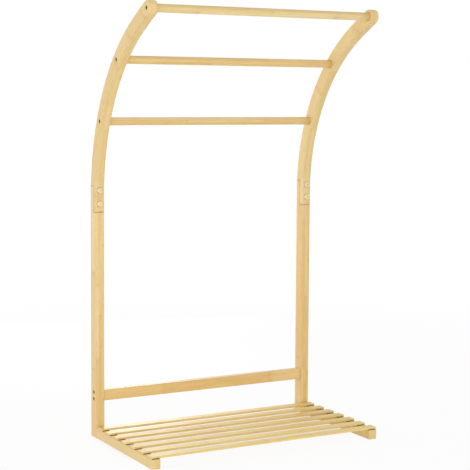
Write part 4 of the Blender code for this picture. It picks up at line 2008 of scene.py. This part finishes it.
@dataclass(frozen=True)
class Studio:
    """Pale floor, soft light and the camera.

    Attributes:
        shadow_share: how much of the floor's own shading shows near the rack.
        shadow_radius: where that shading starts to fade out.
        white_radius: where the floor is plain white.
        shelter_share: how much more of it shows under the shelf.
        shelter_middle: middle of the sheltered floor that the gaps show.
        shelter_half: half its width and depth.
        shelter_fade: how far it takes to fade out.
        bounce: warm colour painted on that floor as light that the slats throw.
        yaw: the camera's turn from looking along Y towards X.
        horizon_rise: how far the picture's middle lies below the lens axis, in pixels.
    """

    world_strength: float = 0.60
    floor_colour: Colour = (0.95, 0.95, 0.95)
    floor_half: float = 8.0
    shadow_share: float = 0.08
    shadow_radius: float = 0.7
    white_radius: float = 2.2
    shelter_share: float = 0.3
    shelter_middle: Triple = (0.0, 0.045, 0.0)
    shelter_half: Triple = (0.225, 0.085, 1.0)
    shelter_fade: float = 0.045
    bounce: Colour = (1.0, 0.95, 0.85)
    image_size: int = 470
    focal_pixels: float = 1334.6
    sensor: float = 36.0
    eye: Triple = (-1.2735, -2.3346, 0.6826)
    yaw: float = math.radians(28.63)
    pitch: float = math.radians(4.62)
    roll: float = math.radians(0.33)
    horizon_rise: float = 28.0
    lights: tuple[SoftBox, ...] = (
        SoftBox("front soft box", (-1.9, -3.3, 0.35), (0.0, 0.0, 0.45), 1.4, 73.0),
        SoftBox("left soft box", (-2.6, 0.8, 0.9), (0.0, 0.0, 0.45), 1.4, 9.0),
        SoftBox("near shelf card", (0.10, 1.0, 0.36), (-0.2, 0.0, 0.02), 0.5, 1.7),
        SoftBox("far shelf card", (0.30, 1.3, 0.42), (-0.1, 0.0, 0.02), 0.9, 2.6),
    )

    def build(self) -> None:
        """Set up the room, its lights and the camera."""
        bpy.context.scene.view_settings.view_transform = "Standard"
        self.build_world()
        self.build_floor()
        for light in self.lights:
            light.hang()
        self.build_camera()

    def build_world(self) -> None:
        """A white room that lights the rack evenly."""
        world = bpy.data.worlds.new("white room")
        bpy.context.scene.world = world
        world.use_nodes = True
        world.node_tree.nodes.clear()
        write = NodeWriter(world.node_tree)
        lighting, seen = (write.add("ShaderNodeBackground") for _ in range(2))
        for background, strength in ((lighting, self.world_strength), (seen, 1.0)):
            write.feed(background.inputs["Color"], WHITE)
            write.feed(background.inputs["Strength"], strength)
        write.blend_shaders(write.seen_directly(), lighting, seen, "ShaderNodeOutputWorld")

    def build_floor(self) -> None:
        """A pale floor that shows white and keeps a soft shadow near the rack.

        Under the shelf more of that shadow is kept, and the white there is tinted
        warm as painted light thrown by the slats. How far a place lies outside that
        zone is the length of what its distances from the zone's middle have beyond the zone's half
        sizes.
        """
        half = self.floor_half
        mesh = bpy.data.meshes.new("floor")
        corners = [(-half, -half, 0), (half, -half, 0), (half, half, 0), (-half, half, 0)]
        mesh.from_pydata(corners, [], [(0, 1, 2, 3)])
        floor = bpy.data.objects.new("floor", mesh)
        bpy.context.scene.collection.objects.link(floor)
        material = bpy.data.materials.new("pale floor")
        material.use_nodes = True
        material.node_tree.nodes.clear()
        write = NodeWriter(material.node_tree)
        place = write.signals(write.add("ShaderNodeTexCoord"))["Object"]
        plain = write.vectors("LENGTH", place).eased(
            self.shadow_radius, self.white_radius, 1 - self.shadow_share, 1.0)
        across = write.vectors("ABSOLUTE", write.vectors("SUBTRACT", place, self.shelter_middle))
        beyond = write.vectors("SUBTRACT", across, self.shelter_half)
        outside = write.vectors("MAXIMUM", beyond, (0.0, 0.0, 0.0))
        sheltered = write.vectors("LENGTH", outside).faded(0.0, self.shelter_fade)
        plain = plain * (1.0 - sheltered * self.shelter_share)
        matt = write.add("ShaderNodeBsdfDiffuse")
        write.feed(matt.inputs["Color"], self.floor_colour)
        white = write.add("ShaderNodeEmission")
        # Warm light from the slats, painted on the floor under the shelf.
        write.feed(white.inputs["Color"], write.mixed(sheltered, WHITE, self.bounce))
        write.blend_shaders(plain * write.seen_directly(), matt, white, "ShaderNodeOutputMaterial")
        mesh.materials.append(material)

    def build_camera(self) -> None:
        """The camera, placed to see the rack as the photograph does."""
        data = bpy.data.cameras.new("camera")
        data.sensor_width = self.sensor
        data.lens = self.focal_pixels * self.sensor / self.image_size
        data.shift_y = -self.horizon_rise / self.image_size
        camera = bpy.data.objects.new("camera", data)
        bpy.context.scene.collection.objects.link(camera)
        turn = (
            Matrix.Rotation(-self.yaw, 4, "Z")
            @ Matrix.Rotation(math.pi / 2 - self.pitch, 4, "X")
            @ Matrix.Rotation(self.roll, 4, "Z")
        )
        camera.matrix_world = Matrix.Translation(self.eye) @ turn
        bpy.context.scene.camera = camera


def main() -> None:
    """Build the rack piece by piece, then the studio."""
    logging.basicConfig(level=logging.INFO)
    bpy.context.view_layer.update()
    effects = Effects()
    for side in Side:
        SideFrame(side, effects).build()
    for order, name in enumerate(RAIL_NAMES):
        TowelRail(name, effects).build(RAIL_SEED + order)
    CrossStretcher(effects).build()
    Shelf(effects).build()
    Fasteners(effects).build()
    Studio().build()


if __name__ == "__main__":
    main()
